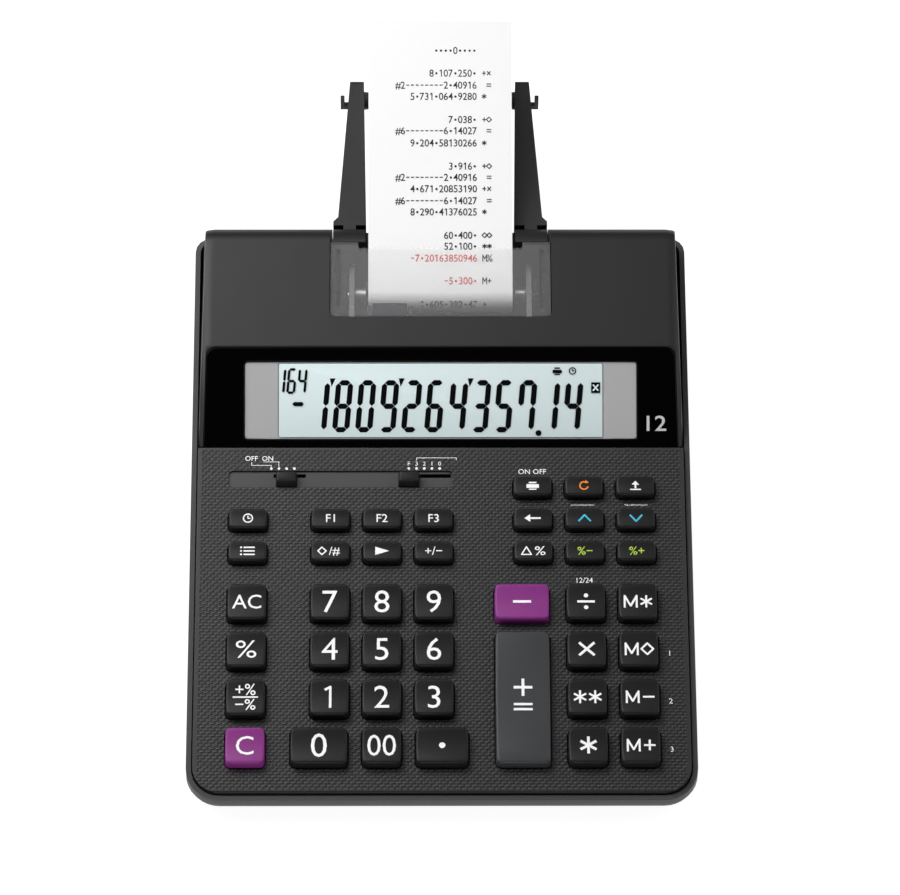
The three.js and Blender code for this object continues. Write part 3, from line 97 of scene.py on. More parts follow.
# Points of a CAD node closer than this, in metres, are merged, and faces within this angle are joined.
MERGED = 2e-6
FLAT = 0.4
# How far a finish's gloss changes over its surface, as a share.
GLOSS_CHANGE = 0.1


@dataclass(frozen=True)
class Slope:
    """A tilted working plane: X, distance up the slope, height square to it."""

    y: float
    z: float
    degrees: float

    def matrix(self) -> Matrix:
        """Matrix from the slope's own millimetres to the machine's."""
        return Matrix.Translation((0, self.y, self.z)) @ Matrix.Rotation(math.radians(self.degrees), 4, "X")

    def place(self, x: float, u: float, n: float) -> Matrix:
        """Matrix that puts a flat drawing at a point of the slope."""
        return self.matrix() @ Matrix.Translation((x, u, n))


PANEL = Slope(2.5, 14.919, 7.4)
DISPLAY = Slope(146.689, 33.646, 30.0)
PANEL_LENGTH = 145.4
UPPER_SIDE = 94.95
CHANNEL_DEPTH = 0.8
BODY_DEPTH = 239.933


@dataclass(frozen=True)
class Noise:
    """A noise: cells per metre, octaves, scale along each axis and, as relief, its depth in metres."""

    scale: float
    detail: float
    stretch: tuple = (1, 1, 1)
    depth: float = 0.0


class Grain(Enum):
    """The surface pattern of a finish: the noise of its tone, then those of its relief, or its name."""

    MOULDED = (Noise(55, 5), Noise(3800, 2, depth=0.000012), Noise(26, 1, depth=0.00004))
    POLISHED = (Noise(30, 2), Noise(18, 1, depth=0.00002))
    PRINTED = (Noise(900, 3), Noise(2500, 1, depth=0.000004))
    RUBBER = (Noise(300, 5), Noise(2200, 3, (0.4, 1, 1), 0.00003))
    PAPER = (Noise(700, 5), Noise(3000, 4, (1, 0.5, 0.5), 0.000012))
    PLATED = (Noise(900, 4, (0.04, 1, 1)), Noise(900, 4, (0.04, 1, 1), 0.00001))
    WOVEN = "embossed weave of the key panel"
    WOUND = "edges of wound paper"
    LAMINATE = "circuit board with its tracks"


class Shader:
    """A node tree under construction."""

    def __init__(self, tree: bpy.types.NodeTree, coordinates: str = "Object") -> None:
        """Takes up a tree and the coordinates that its patterns lie on."""
        self.tree = tree
        self.place = self.node("ShaderNodeTexCoord").outputs[coordinates]

    def feed(self, slot: bpy.types.NodeSocket, value: object) -> None:
        """Joins a socket to an input, or sets the input's value.

        Args:
            slot: the input.
            value: a socket, or what the input is set to.
        """
        if isinstance(value, bpy.types.NodeSocket):
            self.tree.links.new(value, slot)
        else:
            slot.default_value = value

    def node(self, kind: str, **values: object) -> bpy.types.Node:
        """Adds a node.

        Args:
            kind: the node's type.
            values: settings of the node, or what its inputs are fed, by name with underscores for spaces.

        Returns:
            The node.
        """
        made = self.tree.nodes.new(kind)
        for key, value in values.items():
            if hasattr(made, key):
                setattr(made, key, value)
            else:
                self.feed(made.inputs[key.replace("_", " ")], value)
        return made

    def math(self, operation: str, first: object, second: object = 0.0) -> bpy.types.NodeSocket:
        """Adds a Math node.

        Args:
            operation: what it does.
            first: a socket or a number.
            second: a socket or a number.

        Returns:
            The node's result.
        """
        made = self.node("ShaderNodeMath", operation=operation)
        for slot, value in zip(made.inputs, (first, second)):
            self.feed(slot, value)
        return made.outputs[0]

    def times(self, first: object, second: object) -> bpy.types.NodeSocket:
        """The product of two sockets or numbers."""
        return self.math("MULTIPLY", first, second)

    def plus(self, first: object, second: object) -> bpy.types.NodeSocket:
        """The sum of two sockets or numbers."""
        return self.math("ADD", first, second)

    def minus(self, first: object, second: object) -> bpy.types.NodeSocket:
        """The difference of two sockets or numbers."""
        return self.math("SUBTRACT", first, second)

    def within(self, value: object, half: float) -> bpy.types.NodeSocket:
        """1 where a socket lies less than a distance from zero, else 0."""
        return self.math("LESS_THAN", self.math("ABSOLUTE", value), half)

    def noise(self, noise: Noise) -> bpy.types.NodeSocket:
        """Adds a noise on the tree's coordinates.

        Args:
            noise: the noise.

        Returns:
            Its factor.
        """
        mapping = self.node("ShaderNodeMapping", Vector=self.place, Scale=noise.stretch)
        made = self.node("ShaderNodeTexNoise", Vector=mapping.outputs["Vector"], Scale=noise.scale,
                         Detail=noise.detail)
        return made.outputs["Fac"]

    def spread(self, factor: bpy.types.NodeSocket, low: float, high: float) -> bpy.types.NodeSocket:
        """Maps a factor of 0 to 1 to a range of numbers."""
        return self.node("ShaderNodeMapRange", Value=factor, To_Min=low, To_Max=high).outputs["Result"]

    def blend(self, factor: bpy.types.NodeSocket, low: tuple, high: tuple) -> bpy.types.NodeSocket:
        """Mixes two colours.

        Args:
            factor: the factor, 0 to 1.
            low: the colour at 0.
            high: the colour at 1.

        Returns:
            The mixed colour.
        """
        ramp = self.node("ShaderNodeValToRGB", Fac=factor)
        for element, colour in zip(ramp.color_ramp.elements, (low, high)):
            element.color = (*colour, 1)
        return ramp.outputs["Color"]

    def bump(self, height: bpy.types.NodeSocket, depth: float, below: object = None) -> bpy.types.NodeSocket:
        """Adds a bump.

        Args:
            height: its height, 0 to 1.
            depth: its depth, in metres.
            below: the normal of a bump that lies under it.

        Returns:
            The normal.
        """
        made = self.node("ShaderNodeBump", Strength=1.0, Distance=depth, Height=height)
        if below is not None:
            self.feed(made.inputs["Normal"], below)
        return made.outputs["Normal"]


@dataclass
class Pattern:
    """A grain on a shader, between the darkest and the palest tone of its colour."""

    shader: Shader
    grain: Grain
    low: tuple
    high: tuple
    border: float = 1.7
    end_border: float = 1.0
    sunk: float = -0.25
    weights: tuple = (0.44, 0.46, 0.14)
    wave_low: float = -0.55
    wave_high: float = 0.75
    border_tone: float = 0.4
    weave_noise: Noise = Noise(3800, 2, depth=0.00001)
    weave_depth: float = 0.00016
    ring_depth: float = 0.00008
    track_depth: float = 0.00004
    track_shine: float = 2.2

    def sockets(self) -> tuple:
        """Adds the grain's nodes and gives the sockets of its colour and its normal."""
        own = {Grain.WOVEN: self._woven, Grain.WOUND: self._wound, Grain.LAMINATE: self._laminate}
        return own.get(self.grain, self._noisy)()

    def _toned(self, factor: bpy.types.NodeSocket) -> bpy.types.NodeSocket:
        """The colour between the two tones."""
        return self.shader.blend(factor, self.low, self.high)

    def _noisy(self) -> tuple:
        """Noise in the tone, and relief noises over each other.

        Returns:
            The sockets of colour and normal.
        """
        tone, *relief = self.grain.value
        normal = None
        for noise in relief:
            normal = self.shader.bump(self.shader.noise(noise), noise.depth, normal)
        return self._toned(self.shader.noise(tone)), normal

    def _wound(self) -> tuple:
        """Rings of wound paper about the roll's axis.

        Returns:
            The sockets of colour and normal.
        """
        axis = (0, (SHIFT - PaperRoll.y) * MM, -PaperRoll.z * MM)
        centre = self.shader.node("ShaderNodeMapping", Vector=self.shader.place, Location=axis)
        rings = self.shader.node("ShaderNodeTexWave", wave_type="RINGS", rings_direction="X",
                                 Vector=centre.outputs["Vector"], Scale=900, Distortion=1.5)
        return self._toned(rings.outputs["Fac"]), self.shader.bump(rings.outputs["Fac"], self.ring_depth)

    def _laminate(self) -> tuple:
        """Solder mask over copper tracks.

        Returns:
            The sockets of colour and normal.
        """
        tracks = self.shader.node("ShaderNodeTexBrick", Vector=self.shader.place, Scale=260,
                                  Mortar_Size=0.03, Brick_Width=0.9).outputs["Fac"]
        pale = tuple(self.track_shine * c for c in self.high)
        return self.shader.blend(tracks, self.low, pale), self.shader.bump(tracks, self.track_depth)

    def _woven(self) -> tuple:
        """Rows of short raised dashes, each row shifted by half a dash, inside a smooth border.

        Returns:
            The sockets of colour and normal.
        """
        shader, turn = self.shader, -math.radians(PANEL.degrees)
        start = Matrix.Rotation(turn, 3, "X") @ Vector((0, PANEL.y - SHIFT, PANEL.z))
        turned = shader.node("ShaderNodeMapping", Vector=shader.place, Location=-start,
                             Rotation=(turn, 0, 0), Scale=(1 / MM,) * 3)
        x, u, n = shader.node("ShaderNodeSeparateXYZ", Vector=turned.outputs["Vector"]).outputs
        inside = shader.within(x, UPPER_SIDE - self.border)
        along = shader.within(shader.minus(u, PANEL_LENGTH / 2), PANEL_LENGTH / 2 - self.end_border)
        on_top = shader.math("GREATER_THAN", n, self.sunk)
        mask = shader.times(shader.times(inside, on_top), along)
        dashes, rows = shader.times(x, math.tau / DASH), shader.times(u, math.tau / ROW)
        half = shader.times(rows, 0.5)
        total = 0.0
        for weight, angle in zip(self.weights, (shader.minus(dashes, half), rows, shader.plus(dashes, half))):
            total = shader.plus(total, shader.times(shader.math("COSINE", angle), weight))
        ramp = shader.node("ShaderNodeMapRange", interpolation_type="SMOOTHSTEP", Value=total,
                           From_Min=self.wave_low, From_Max=self.wave_high)
        height = shader.times(ramp.outputs["Result"], mask)
        # The dashes' height also sets the colour, pale on the dashes and dark between them: painted highlight
        # and painted shade of the relief, on top of its bump.
        painted_relief_shade = shader.plus(height, shader.times(shader.minus(1.0, mask), self.border_tone))
        fine = shader.bump(shader.noise(self.weave_noise), self.weave_noise.depth)
        return self._toned(painted_relief_shade), shader.bump(height, self.weave_depth, fine)


@dataclass(frozen=True)
class Finish:
    """A finish: its colour, gloss and surface pattern."""

    name: str
    colour: tuple
    roughness: float
    grain: Grain
    variation: float = 0.12
    specular: float = 0.4
    metal: float = 0.0
    alpha: float = 1.0
    gloss_noise: Noise = Noise(90, 4)

    def material(self) -> bpy.types.Material:
        """The finish's material, made once."""
        return bpy.data.materials.get(self.name) or self._made()

    def _made(self) -> bpy.types.Material:
        """Builds the node material.

        Returns:
            The material.
        """
        made = bpy.data.materials.new(self.name)
        made.use_nodes = True
        made.node_tree.nodes.clear()
        shader = Shader(made.node_tree)
        low, high = (tuple(min(1.0, c * (1 + change)) for c in self.colour)
                     for change in (-self.variation, self.variation))
        colour, normal = Pattern(shader, self.grain, low, high).sockets()
        smoother, rougher = (self.roughness * (1 + change) for change in (-GLOSS_CHANGE, GLOSS_CHANGE))
        rough = shader.spread(shader.noise(self.gloss_noise), smoother, min(1.0, rougher))
        surface = shader.node("ShaderNodeBsdfPrincipled", Base_Color=colour, Normal=normal, Roughness=rough,
                              Specular_IOR_Level=self.specular, Metallic=self.metal, Alpha=self.alpha)
        shader.node("ShaderNodeOutputMaterial", Surface=surface.outputs["BSDF"])
        return made


class Palette:
    """The calculator's finishes."""

    # The weave's tone runs from near black in its valleys to twice the colour on its dashes: painted shade
    # and painted highlight of the relief.
    PANEL = Finish("panel_weave", (0.0150, 0.0150, 0.0152), 0.43, Grain.WOVEN, 0.97, 0.42)
    CASE = Finish("case_plastic", (0.0110, 0.0110, 0.0113), 0.42, Grain.MOULDED, 0.08, 0.27)
    RIM = Finish("rim_plastic", (0.034, 0.035, 0.037), 0.5, Grain.MOULDED, 0.1, 0.35)
    CHANNEL = Finish("channel_plastic", (0.034, 0.034, 0.034), 0.45, Grain.MOULDED, 0.06, 0.36)
    GLOSS = Finish("gloss_plate", (0.001, 0.001, 0.001), 0.1, Grain.POLISHED, 0.1, 0.2)
    SURROUND = Finish("silver_surround", (0.37, 0.37, 0.37), 0.45, Grain.MOULDED, 0.02, 0.3)
    GLASS = Finish("display_glass", (0.65, 0.75, 0.755), 0.3, Grain.POLISHED, 0.01, 0.2)
    SEGMENT = Finish("display_segments", (0.0012, 0.0018, 0.0021), 0.5, Grain.PRINTED, 0.05, 0.06)
    KEY = Finish("key_plastic", (0.0118, 0.0112, 0.0112), 0.38, Grain.MOULDED, 0.1, 0.16)
    ARM = Finish("arm_plastic", (0.0128, 0.0128, 0.0138), 0.45, Grain.MOULDED, 0.08, 0.33)
    PURPLE = Finish("purple_plastic", (0.205, 0.025, 0.186), 0.4, Grain.MOULDED, 0.05, 0.24)
    SLATE = Finish("slate_plastic", (0.033, 0.0345, 0.0375), 0.42, Grain.MOULDED, 0.06, 0.3)
    WHITE = Finish("white_print", (0.86, 0.86, 0.86), 0.6, Grain.PRINTED, 0.03, 0.2)
    GREY = Finish("grey_print", (0.50, 0.50, 0.50), 0.6, Grain.PRINTED, 0.05, 0.2)
    ORANGE = Finish("orange_print", (0.80, 0.22, 0.02), 0.6, Grain.PRINTED, 0.05, 0.3)
    LIME = Finish("lime_print", (0.42, 0.62, 0.06), 0.6, Grain.PRINTED, 0.05, 0.3)
    CYAN = Finish("cyan_print", (0.05, 0.46, 0.66), 0.6, Grain.PRINTED, 0.05, 0.3)
    PAPER = Finish("plain_paper", (0.795, 0.795, 0.795), 0.85, Grain.PAPER, 0.012, 0.1)
    WOUND = Finish("wound_paper", (0.74, 0.74, 0.72), 0.9, Grain.WOUND, 0.12, 0.2)
    CARD = Finish("roll_core", (0.33, 0.26, 0.19), 0.85, Grain.PAPER, 0.15, 0.2)
    INKED = Finish("printed_ink", (0.035, 0.035, 0.04), 0.8, Grain.PRINTED, 0.4, 0.15)
    RED_INK = Finish("printed_red_ink", (0.62, 0.10, 0.09), 0.8, Grain.PRINTED, 0.3, 0.2)
    SMOKE = Finish("smoked_window", (0.60, 0.60, 0.61), 0.14, Grain.POLISHED, 0.03, alpha=0.09)
    RUBBER = Finish("ground_rubber", (0.016, 0.016, 0.016), 0.8, Grain.RUBBER, 0.3, 0.25)
    STEEL = Finish("plated_steel", (0.42, 0.43, 0.44), 0.38, Grain.PLATED, 0.1, 0.5, 1.0)
    CHASSIS = Finish("chassis_plate", (0.11, 0.11, 0.115), 0.5, Grain.PLATED, 0.1, 0.3)
    NYLON = Finish("carriage_nylon", (0.012, 0.012, 0.013), 0.5, Grain.MOULDED, 0.1, 0.2)
    INK_FELT = Finish("ink_roller_felt", (0.006, 0.004, 0.011), 0.75, Grain.RUBBER, 0.35, 0.05)
    BOARD = Finish("board_laminate", (0.010, 0.085, 0.035), 0.45, Grain.LAMINATE, 0.1, 0.4)
    FLOOR = Finish("studio_floor", (0.22, 0.22, 0.22), 0.9, Grain.PAPER, 0.002, 0.0)


def paint(faces: object, slot: int) -> None:
    """Gives faces one material slot."""
    for face in faces:
        face.material_index = slot


class Sketch:
    """Flat marks gathered in one mesh, in millimetres, before they are laid on a surface."""

    def __init__(self) -> None:
        """Starts an empty sketch."""
        self.mesh = bmesh.new()
        self.count = 0

    def _raised(self, verts: list) -> "Sketch":
        """Lifts a new mark a hair above the last one, so that no two lie in one plane.

        Args:
            verts: the mark's vertices.

        Returns:
            This sketch.
        """
        bmesh.ops.translate(self.mesh, vec=(0, 0, self.count * LIFT_STEP), verts=verts)
        self.count += 1
        return self

    def shape(self, points: list, material: int = 0) -> "Sketch":
        """Adds a filled outline.

        Args:
            points: its corners as (x, y).
            material: the material slot's number.

        Returns:
            This sketch.
        """
        verts = [self.mesh.verts.new((x, y, 0)) for x, y in points]
        paint([self.mesh.faces.new(verts)], material)
        return self._raised(verts)

    def bar(self, start: tuple, end: tuple, stroke: float, material: int = 0) -> "Sketch":
        """Adds a straight stroke.

        Args:
            start: its first end (x, y).
            end: its other end (x, y).
            stroke: its width.
            material: the material slot's number.

        Returns:
            This sketch.
        """
        a, b = Vector(start), Vector(end)
        side = (b - a).normalized().orthogonal() * stroke / 2
        return self.shape([b - side, b + side, a + side, a - side], material)

    def line(self, points: list, stroke: float, material: int = 0) -> "Sketch":
        """Adds strokes through points, with a disc at each inner corner.

        Args:
            points: the points as (x, y).
            stroke: width of the strokes.
            material: the material slot's number.

        Returns:
            This sketch.
        """
        for first, second in zip(points, points[1:]):
            self.bar(first, second, stroke, material)
        for x, y in points[1:-1]:
            self.disc(x, y, stroke / 2, material, 10)
        return self

    def disc(self, x: float, y: float, radius: float, material: int = 0, steps: int = 20) -> "Sketch":
        """Adds a filled disc.

        Args:
            x: its middle across.
            y: its middle up.
            radius: its radius.
            material: the material slot's number.
            steps: corners round it.

        Returns:
            This sketch.
        """
        made = bmesh.ops.create_circle(self.mesh, cap_ends=True, segments=steps, radius=radius,
                                       matrix=Matrix.Translation((x, y, 0)))["verts"]
        paint(made[0].link_faces, material)
        return self._raised(made)

    def arc(self, x: float, y: float, radius: float, stroke: float, start: float = 0,
            sweep: float = 360) -> "Sketch":
        """Adds a ring or a part of one.

        Args:
            x: its middle across.
            y: its middle up.
            radius: radius of the stroke's middle line.
            stroke: the stroke's width.
            start: the angle where it starts, in degrees.
            sweep: the angle that it covers, in degrees.

        Returns:
            This sketch.
        """
        before = set(self.mesh.verts)
        direction = Matrix.Rotation(math.radians(start), 3, "Z") @ Vector(AXIS_X)
        ends = [self.mesh.verts.new(direction * r) for r in (radius - stroke / 2, radius + stroke / 2)]
        edge = self.mesh.edges.new(ends)
        bmesh.ops.spin(self.mesh, geom=[*ends, edge], cent=(0, 0, 0), axis=AXIS_Z,
                       angle=math.radians(sweep), steps=24, use_merge=sweep == 360)
        verts = [v for v in self.mesh.verts if v not in before]
        bmesh.ops.translate(self.mesh, vec=(x, y, 0), verts=verts)
        return self._raised(verts)

    def text(self, body: str, height: float, x: float = 0, y: float = 0, material: int = 0,
             widen: float = 1.0, bold: float = 0.0) -> "Sketch":
        """Adds words or numbers, centred on a point.

        Args:
            body: what is written.
            height: height of its capitals.
            x: its middle across.
            y: its middle up.
            material: the material slot's number.
            widen: how much wider than the plain letters it is.
            bold: extra stroke width, as a share of the size.

        Returns:
            This sketch.
        """
        curve = bpy.data.curves.new("lettering", "FONT")
        curve.body = body
        curve.size = height / CAP_SHARE
        curve.offset = bold
        curve.resolution_u = 3
        holder = bpy.data.objects.new("lettering", curve)
        bpy.context.scene.collection.objects.link(holder)
        bpy.context.view_layer.update()
        flat = bpy.data.meshes.new_from_object(holder.evaluated_get(bpy.context.evaluated_depsgraph_get()))
        xs = [v.co.x for v in flat.vertices]
        flat.transform(Matrix.Translation((x, y, 0)) @ Matrix.Diagonal((widen, 1, 1, 1))
                       @ Matrix.Translation((-(min(xs) + max(xs)) / 2, -height / 2, 0)))
        for polygon in flat.polygons:
            polygon.material_index = material
        before = set(self.mesh.verts)
        self.mesh.from_mesh(flat)
        for block, store in ((holder, bpy.data.objects), (curve, bpy.data.curves), (flat, bpy.data.meshes)):
            store.remove(block)
        return self._raised([v for v in self.mesh.verts if v not in before])

    def star(self, x: float, y: float, height: float, stroke: float) -> "Sketch":
        """Adds an asterisk of three crossing strokes.

        Args:
            x: its middle across.
            y: its middle up.
            height: its height.
            stroke: width of its strokes.

        Returns:
            This sketch.
        """
        for degrees in (90, 30, 150):
            arm = Vector((math.cos(math.radians(degrees)), math.sin(math.radians(degrees)))) * height / 2
            self.bar((x - arm.x, y - arm.y), (x + arm.x, y + arm.y), stroke)
        return self

    def letter_m(self, x: float, y: float, height: float, stroke: float) -> "Sketch":
        """Adds an upright M of four strokes.

        Args:
            x: its middle across.
            y: its middle up.
            height: its height.
            stroke: width of its strokes.

        Returns:
            This sketch.
        """
        side, rise = height / 2 - stroke / 2, height / 2
        head = y + rise - stroke / 2
        points = [(x - side, y - rise), (x - side, head), (x, y - rise + stroke * 1.1), (x + side, head),
                  (x + side, y - rise)]
        return self.line(points, stroke)

    def diamond(self, x: float, y: float, size: float, stroke: float) -> "Sketch":
        """Adds an open diamond, as wide as it is high, about a point."""
        s = size / 2
        return self.line([(x - s, y), (x, y + s), (x + s, y), (x, y - s), (x - s, y), (x, y + s)], stroke)

    def draw(self, marks: tuple) -> "Sketch":
        """Adds marks from a list.

        Args:
            marks: the marks, each with the name of its method and its measures.

        Returns:
            This sketch.
        """
        for mark, *measures in marks:
            getattr(self, mark)(*measures)
        return self

    def colour(self, material: int) -> "Sketch":
        """Gives every mark made so far one material slot."""
        paint(self.mesh.faces, material)
        return self

    def face_up(self) -> None:
        """Turns the marks that look down."""
        for face in self.mesh.faces:
            if face.normal.z < 0:
                face.normal_flip()

    def laid(self, matrix: Matrix) -> bmesh.types.BMesh:
        """Moves the marks on to a surface.

        Args:
            matrix: from the sketch's plane to the machine's millimetres.

        Returns:
            The marks' mesh.
        """
        self.face_up()
        lifted = matrix @ Matrix.Translation((0, 0, LIFT))
        bmesh.ops.transform(self.mesh, matrix=lifted, verts=self.mesh.verts)
        return self.mesh


class Shape:
    """A solid under construction, in millimetres."""

    def __init__(self) -> None:
        """Starts an empty shape."""
        self.mesh = bmesh.new()

    def bevelled(self, geometry: list, width: float, segments: int = 2, affect: str = "EDGES",
                 clamp: bool = False) -> None:
        """Bevels edges, or corners, and with clamp stops a bevel where it would meet another."""
        bmesh.ops.bevel(self.mesh, geom=geometry, offset=width, offset_type="OFFSET", segments=segments,
                        profile=0.5, affect=affect, material=-1, clamp_overlap=clamp)

    def plate(self, width: float, length: float, radius: float, z: float) -> bmesh.types.BMFace:
        """Starts the shape with a flat plate with round corners about the origin.

        Args:
            width: its size across.
            length: its size up.
            radius: its corner radius.
            z: its height.

        Returns:
            Its face.
        """
        made = bmesh.ops.create_grid(self.mesh, x_segments=1, y_segments=1, size=0.5)["verts"]
        bmesh.ops.scale(self.mesh, vec=(width, length, 1), verts=made)
        bmesh.ops.translate(self.mesh, vec=(0, 0, z), verts=made)
        self.bevelled(made, radius, CORNER_STEPS, "VERTICES")
        face = next(iter(self.mesh.faces))
        if face.normal.z < 0:
            face.normal_flip()
        return face

    def raise_face(self, face: bmesh.types.BMFace, height: float, width_share: float = 1.0,
                   length_share: float = 1.0, slide: float = 0.0) -> bmesh.types.BMFace:
        """Extrudes a face upwards, scaled about its middle.

        Args:
            face: the face to extrude.
            height: how far it rises.
            width_share: its new width, as a share.
            length_share: its new length, as a share.
            slide: how far it moves along Y.

        Returns:
            The new face.
        """
        middle = face.calc_center_median()
        made = bmesh.ops.extrude_face_region(self.mesh, geom=[face])["geom"]
        verts = [g for g in made if isinstance(g, bmesh.types.BMVert)]
        top = next(g for g in made if isinstance(g, bmesh.types.BMFace))
        if any(len(edge.link_faces) > 2 for edge in face.edges):
            bmesh.ops.delete(self.mesh, geom=[face], context="FACES_ONLY")
        bmesh.ops.scale(self.mesh, vec=(width_share, length_share, 1), verts=verts,
                        space=Matrix.Translation(-middle))
        bmesh.ops.translate(self.mesh, vec=(0, slide, height), verts=verts)
        return top

    def block(self, low: tuple, high: tuple, bevel: float = 0.0) -> "Shape":
        """Adds a block with bevelled edges.

        Args:
            low: its lowest corner.
            high: its highest corner.
            bevel: width of the bevels.

        Returns:
            This shape.
        """
        made = bmesh.ops.create_cube(self.mesh, size=1.0)["verts"]
        bmesh.ops.scale(self.mesh, vec=Vector(high) - Vector(low), verts=made)
        bmesh.ops.translate(self.mesh, vec=(Vector(high) + Vector(low)) / 2, verts=made)
        if bevel > 0:
            self.bevelled(list({e for v in made for e in v.link_edges}), bevel)
        return self

    def turned(self, profile: list, steps: int = 48, axis: tuple = AXIS_X) -> "Shape":
        """Spins a profile about an axis through the origin.

        Args:
            profile: its points as (along the axis, radius).
            steps: pieces round it.
            axis: the axis, X or Z.

        Returns:
            This shape.
        """
        fresh = bmesh.new()
        verts = [fresh.verts.new((a, r, 0) if axis == AXIS_X else (r, 0, a)) for a, r in profile]
        edges = [fresh.edges.new(pair) for pair in zip(verts, verts[1:])]
        bmesh.ops.spin(fresh, geom=[*verts, *edges], cent=(0, 0, 0), axis=axis, angle=2 * math.pi,
                       steps=steps, use_merge=True)
        bmesh.ops.remove_doubles(fresh, verts=fresh.verts, dist=1e-4)
        bmesh.ops.recalc_face_normals(fresh, faces=fresh.faces)
        return self.add(fresh)

    def add(self, other: bmesh.types.BMesh) -> "Shape":
        """Adds another mesh to this one and frees it.

        Args:
            other: the other mesh.

        Returns:
            This shape.
        """
        holder = bpy.data.meshes.new("part")
        other.to_mesh(holder)
        self.mesh.from_mesh(holder)
        bpy.data.meshes.remove(holder)
        other.free()
        return self

    def moved(self, matrix: Matrix) -> "Shape":
        """Moves the whole shape."""
        bmesh.ops.transform(self.mesh, matrix=matrix, verts=self.mesh.verts)
        return self

    def material(self, number: int) -> "Shape":
        """Gives every face one material slot."""
        paint(self.mesh.faces, number)
        return self

    def outward(self) -> "Shape":
        """Turns every face outwards."""
        bmesh.ops.recalc_face_normals(self.mesh, faces=self.mesh.faces)
        return self


@dataclass
class Piece:
    """One named piece of the visual model."""

    name: str
    body: str
    slot: str
    finishes: list
    replaced: tuple = ()

    def make(self, mesh: bmesh.types.BMesh, in_row: bool = False) -> bpy.types.Object:
        """Turns a mesh into the piece's object and hands it to its body.

        Args:
            mesh: the whole mesh, which is freed.
            in_row: whether it is in metres in the row frame already.

        Returns:
            The object.
        """
        if not in_row:
            bmesh.ops.transform(mesh, matrix=TO_ROW, verts=mesh.verts)
        for edge in mesh.edges:
            edge.smooth = edge.is_manifold and edge.calc_face_angle(0) <= math.radians(SHARP)
        for face in mesh.faces:
            face.smooth = True
        data = bpy.data.meshes.new(self.name)
        mesh.to_mesh(data)
        mesh.free()
        for finish in self.finishes:
            data.materials.append(finish.material())
        made = bpy.data.objects.new(self.name, data)
        bpy.context.scene.collection.objects.link(made)
        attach(made, self.body)
        if self.replaced:
            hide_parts(*self.replaced)
        LOG.info("%s: %d faces on %s", self.name, len(data.polygons), self.body)
        return made

    @staticmethod
    def rounded(made: bpy.types.Object, width: float) -> None:
        """Rounds the sharp edges of a piece's object.

        Args:
            made: the object.
            width: width of the rounding, in millimetres.
        """
        bevel = made.modifiers.new("edge rounding", "BEVEL")
        bevel.width = width * MM
        bevel.segments = 2
        bevel.limit_method = "ANGLE"
        bevel.angle_limit = math.radians(ROUNDED)

    def softened(self, node: str, width: float, chooser: object = None,
                 shaper: object = None) -> bpy.types.Object:
        """Copies a CAD node, merges it and rounds its edges.

        Args:
            node: the CAD node.
            width: width of the rounding, in millimetres.
            chooser: a function from a face's middle and normal, in millimetres, to a slot number.
            shaper: a function that works on the merged mesh, in metres, before its edges are rounded.

        Returns:
            The object.
        """
        mesh = bmesh.new()
        mesh.from_mesh(frame["nodes"][node].data)
        bmesh.ops.remove_doubles(mesh, verts=mesh.verts, dist=MERGED)
        bmesh.ops.dissolve_limit(mesh, angle_limit=math.radians(FLAT), verts=mesh.verts, edges=mesh.edges,
                                 use_dissolve_boundaries=False)
        if chooser:
            back = TO_ROW.inverted()
            for face in mesh.faces:
                face.material_index = chooser(back @ face.calc_center_median(), face.normal)
        if shaper:
            shaper(mesh)
        for layer in list(mesh.loops.layers.uv):
            mesh.loops.layers.uv.remove(layer)
        self.replaced = (*self.replaced, node)
        made = self.make(mesh, in_row=True)
        self.rounded(made, width)
        weigh = made.modifiers.new("face weighted normals", "WEIGHTED_NORMAL")
        weigh.mode = "FACE_AREA"
        weigh.weight = 100
        return made


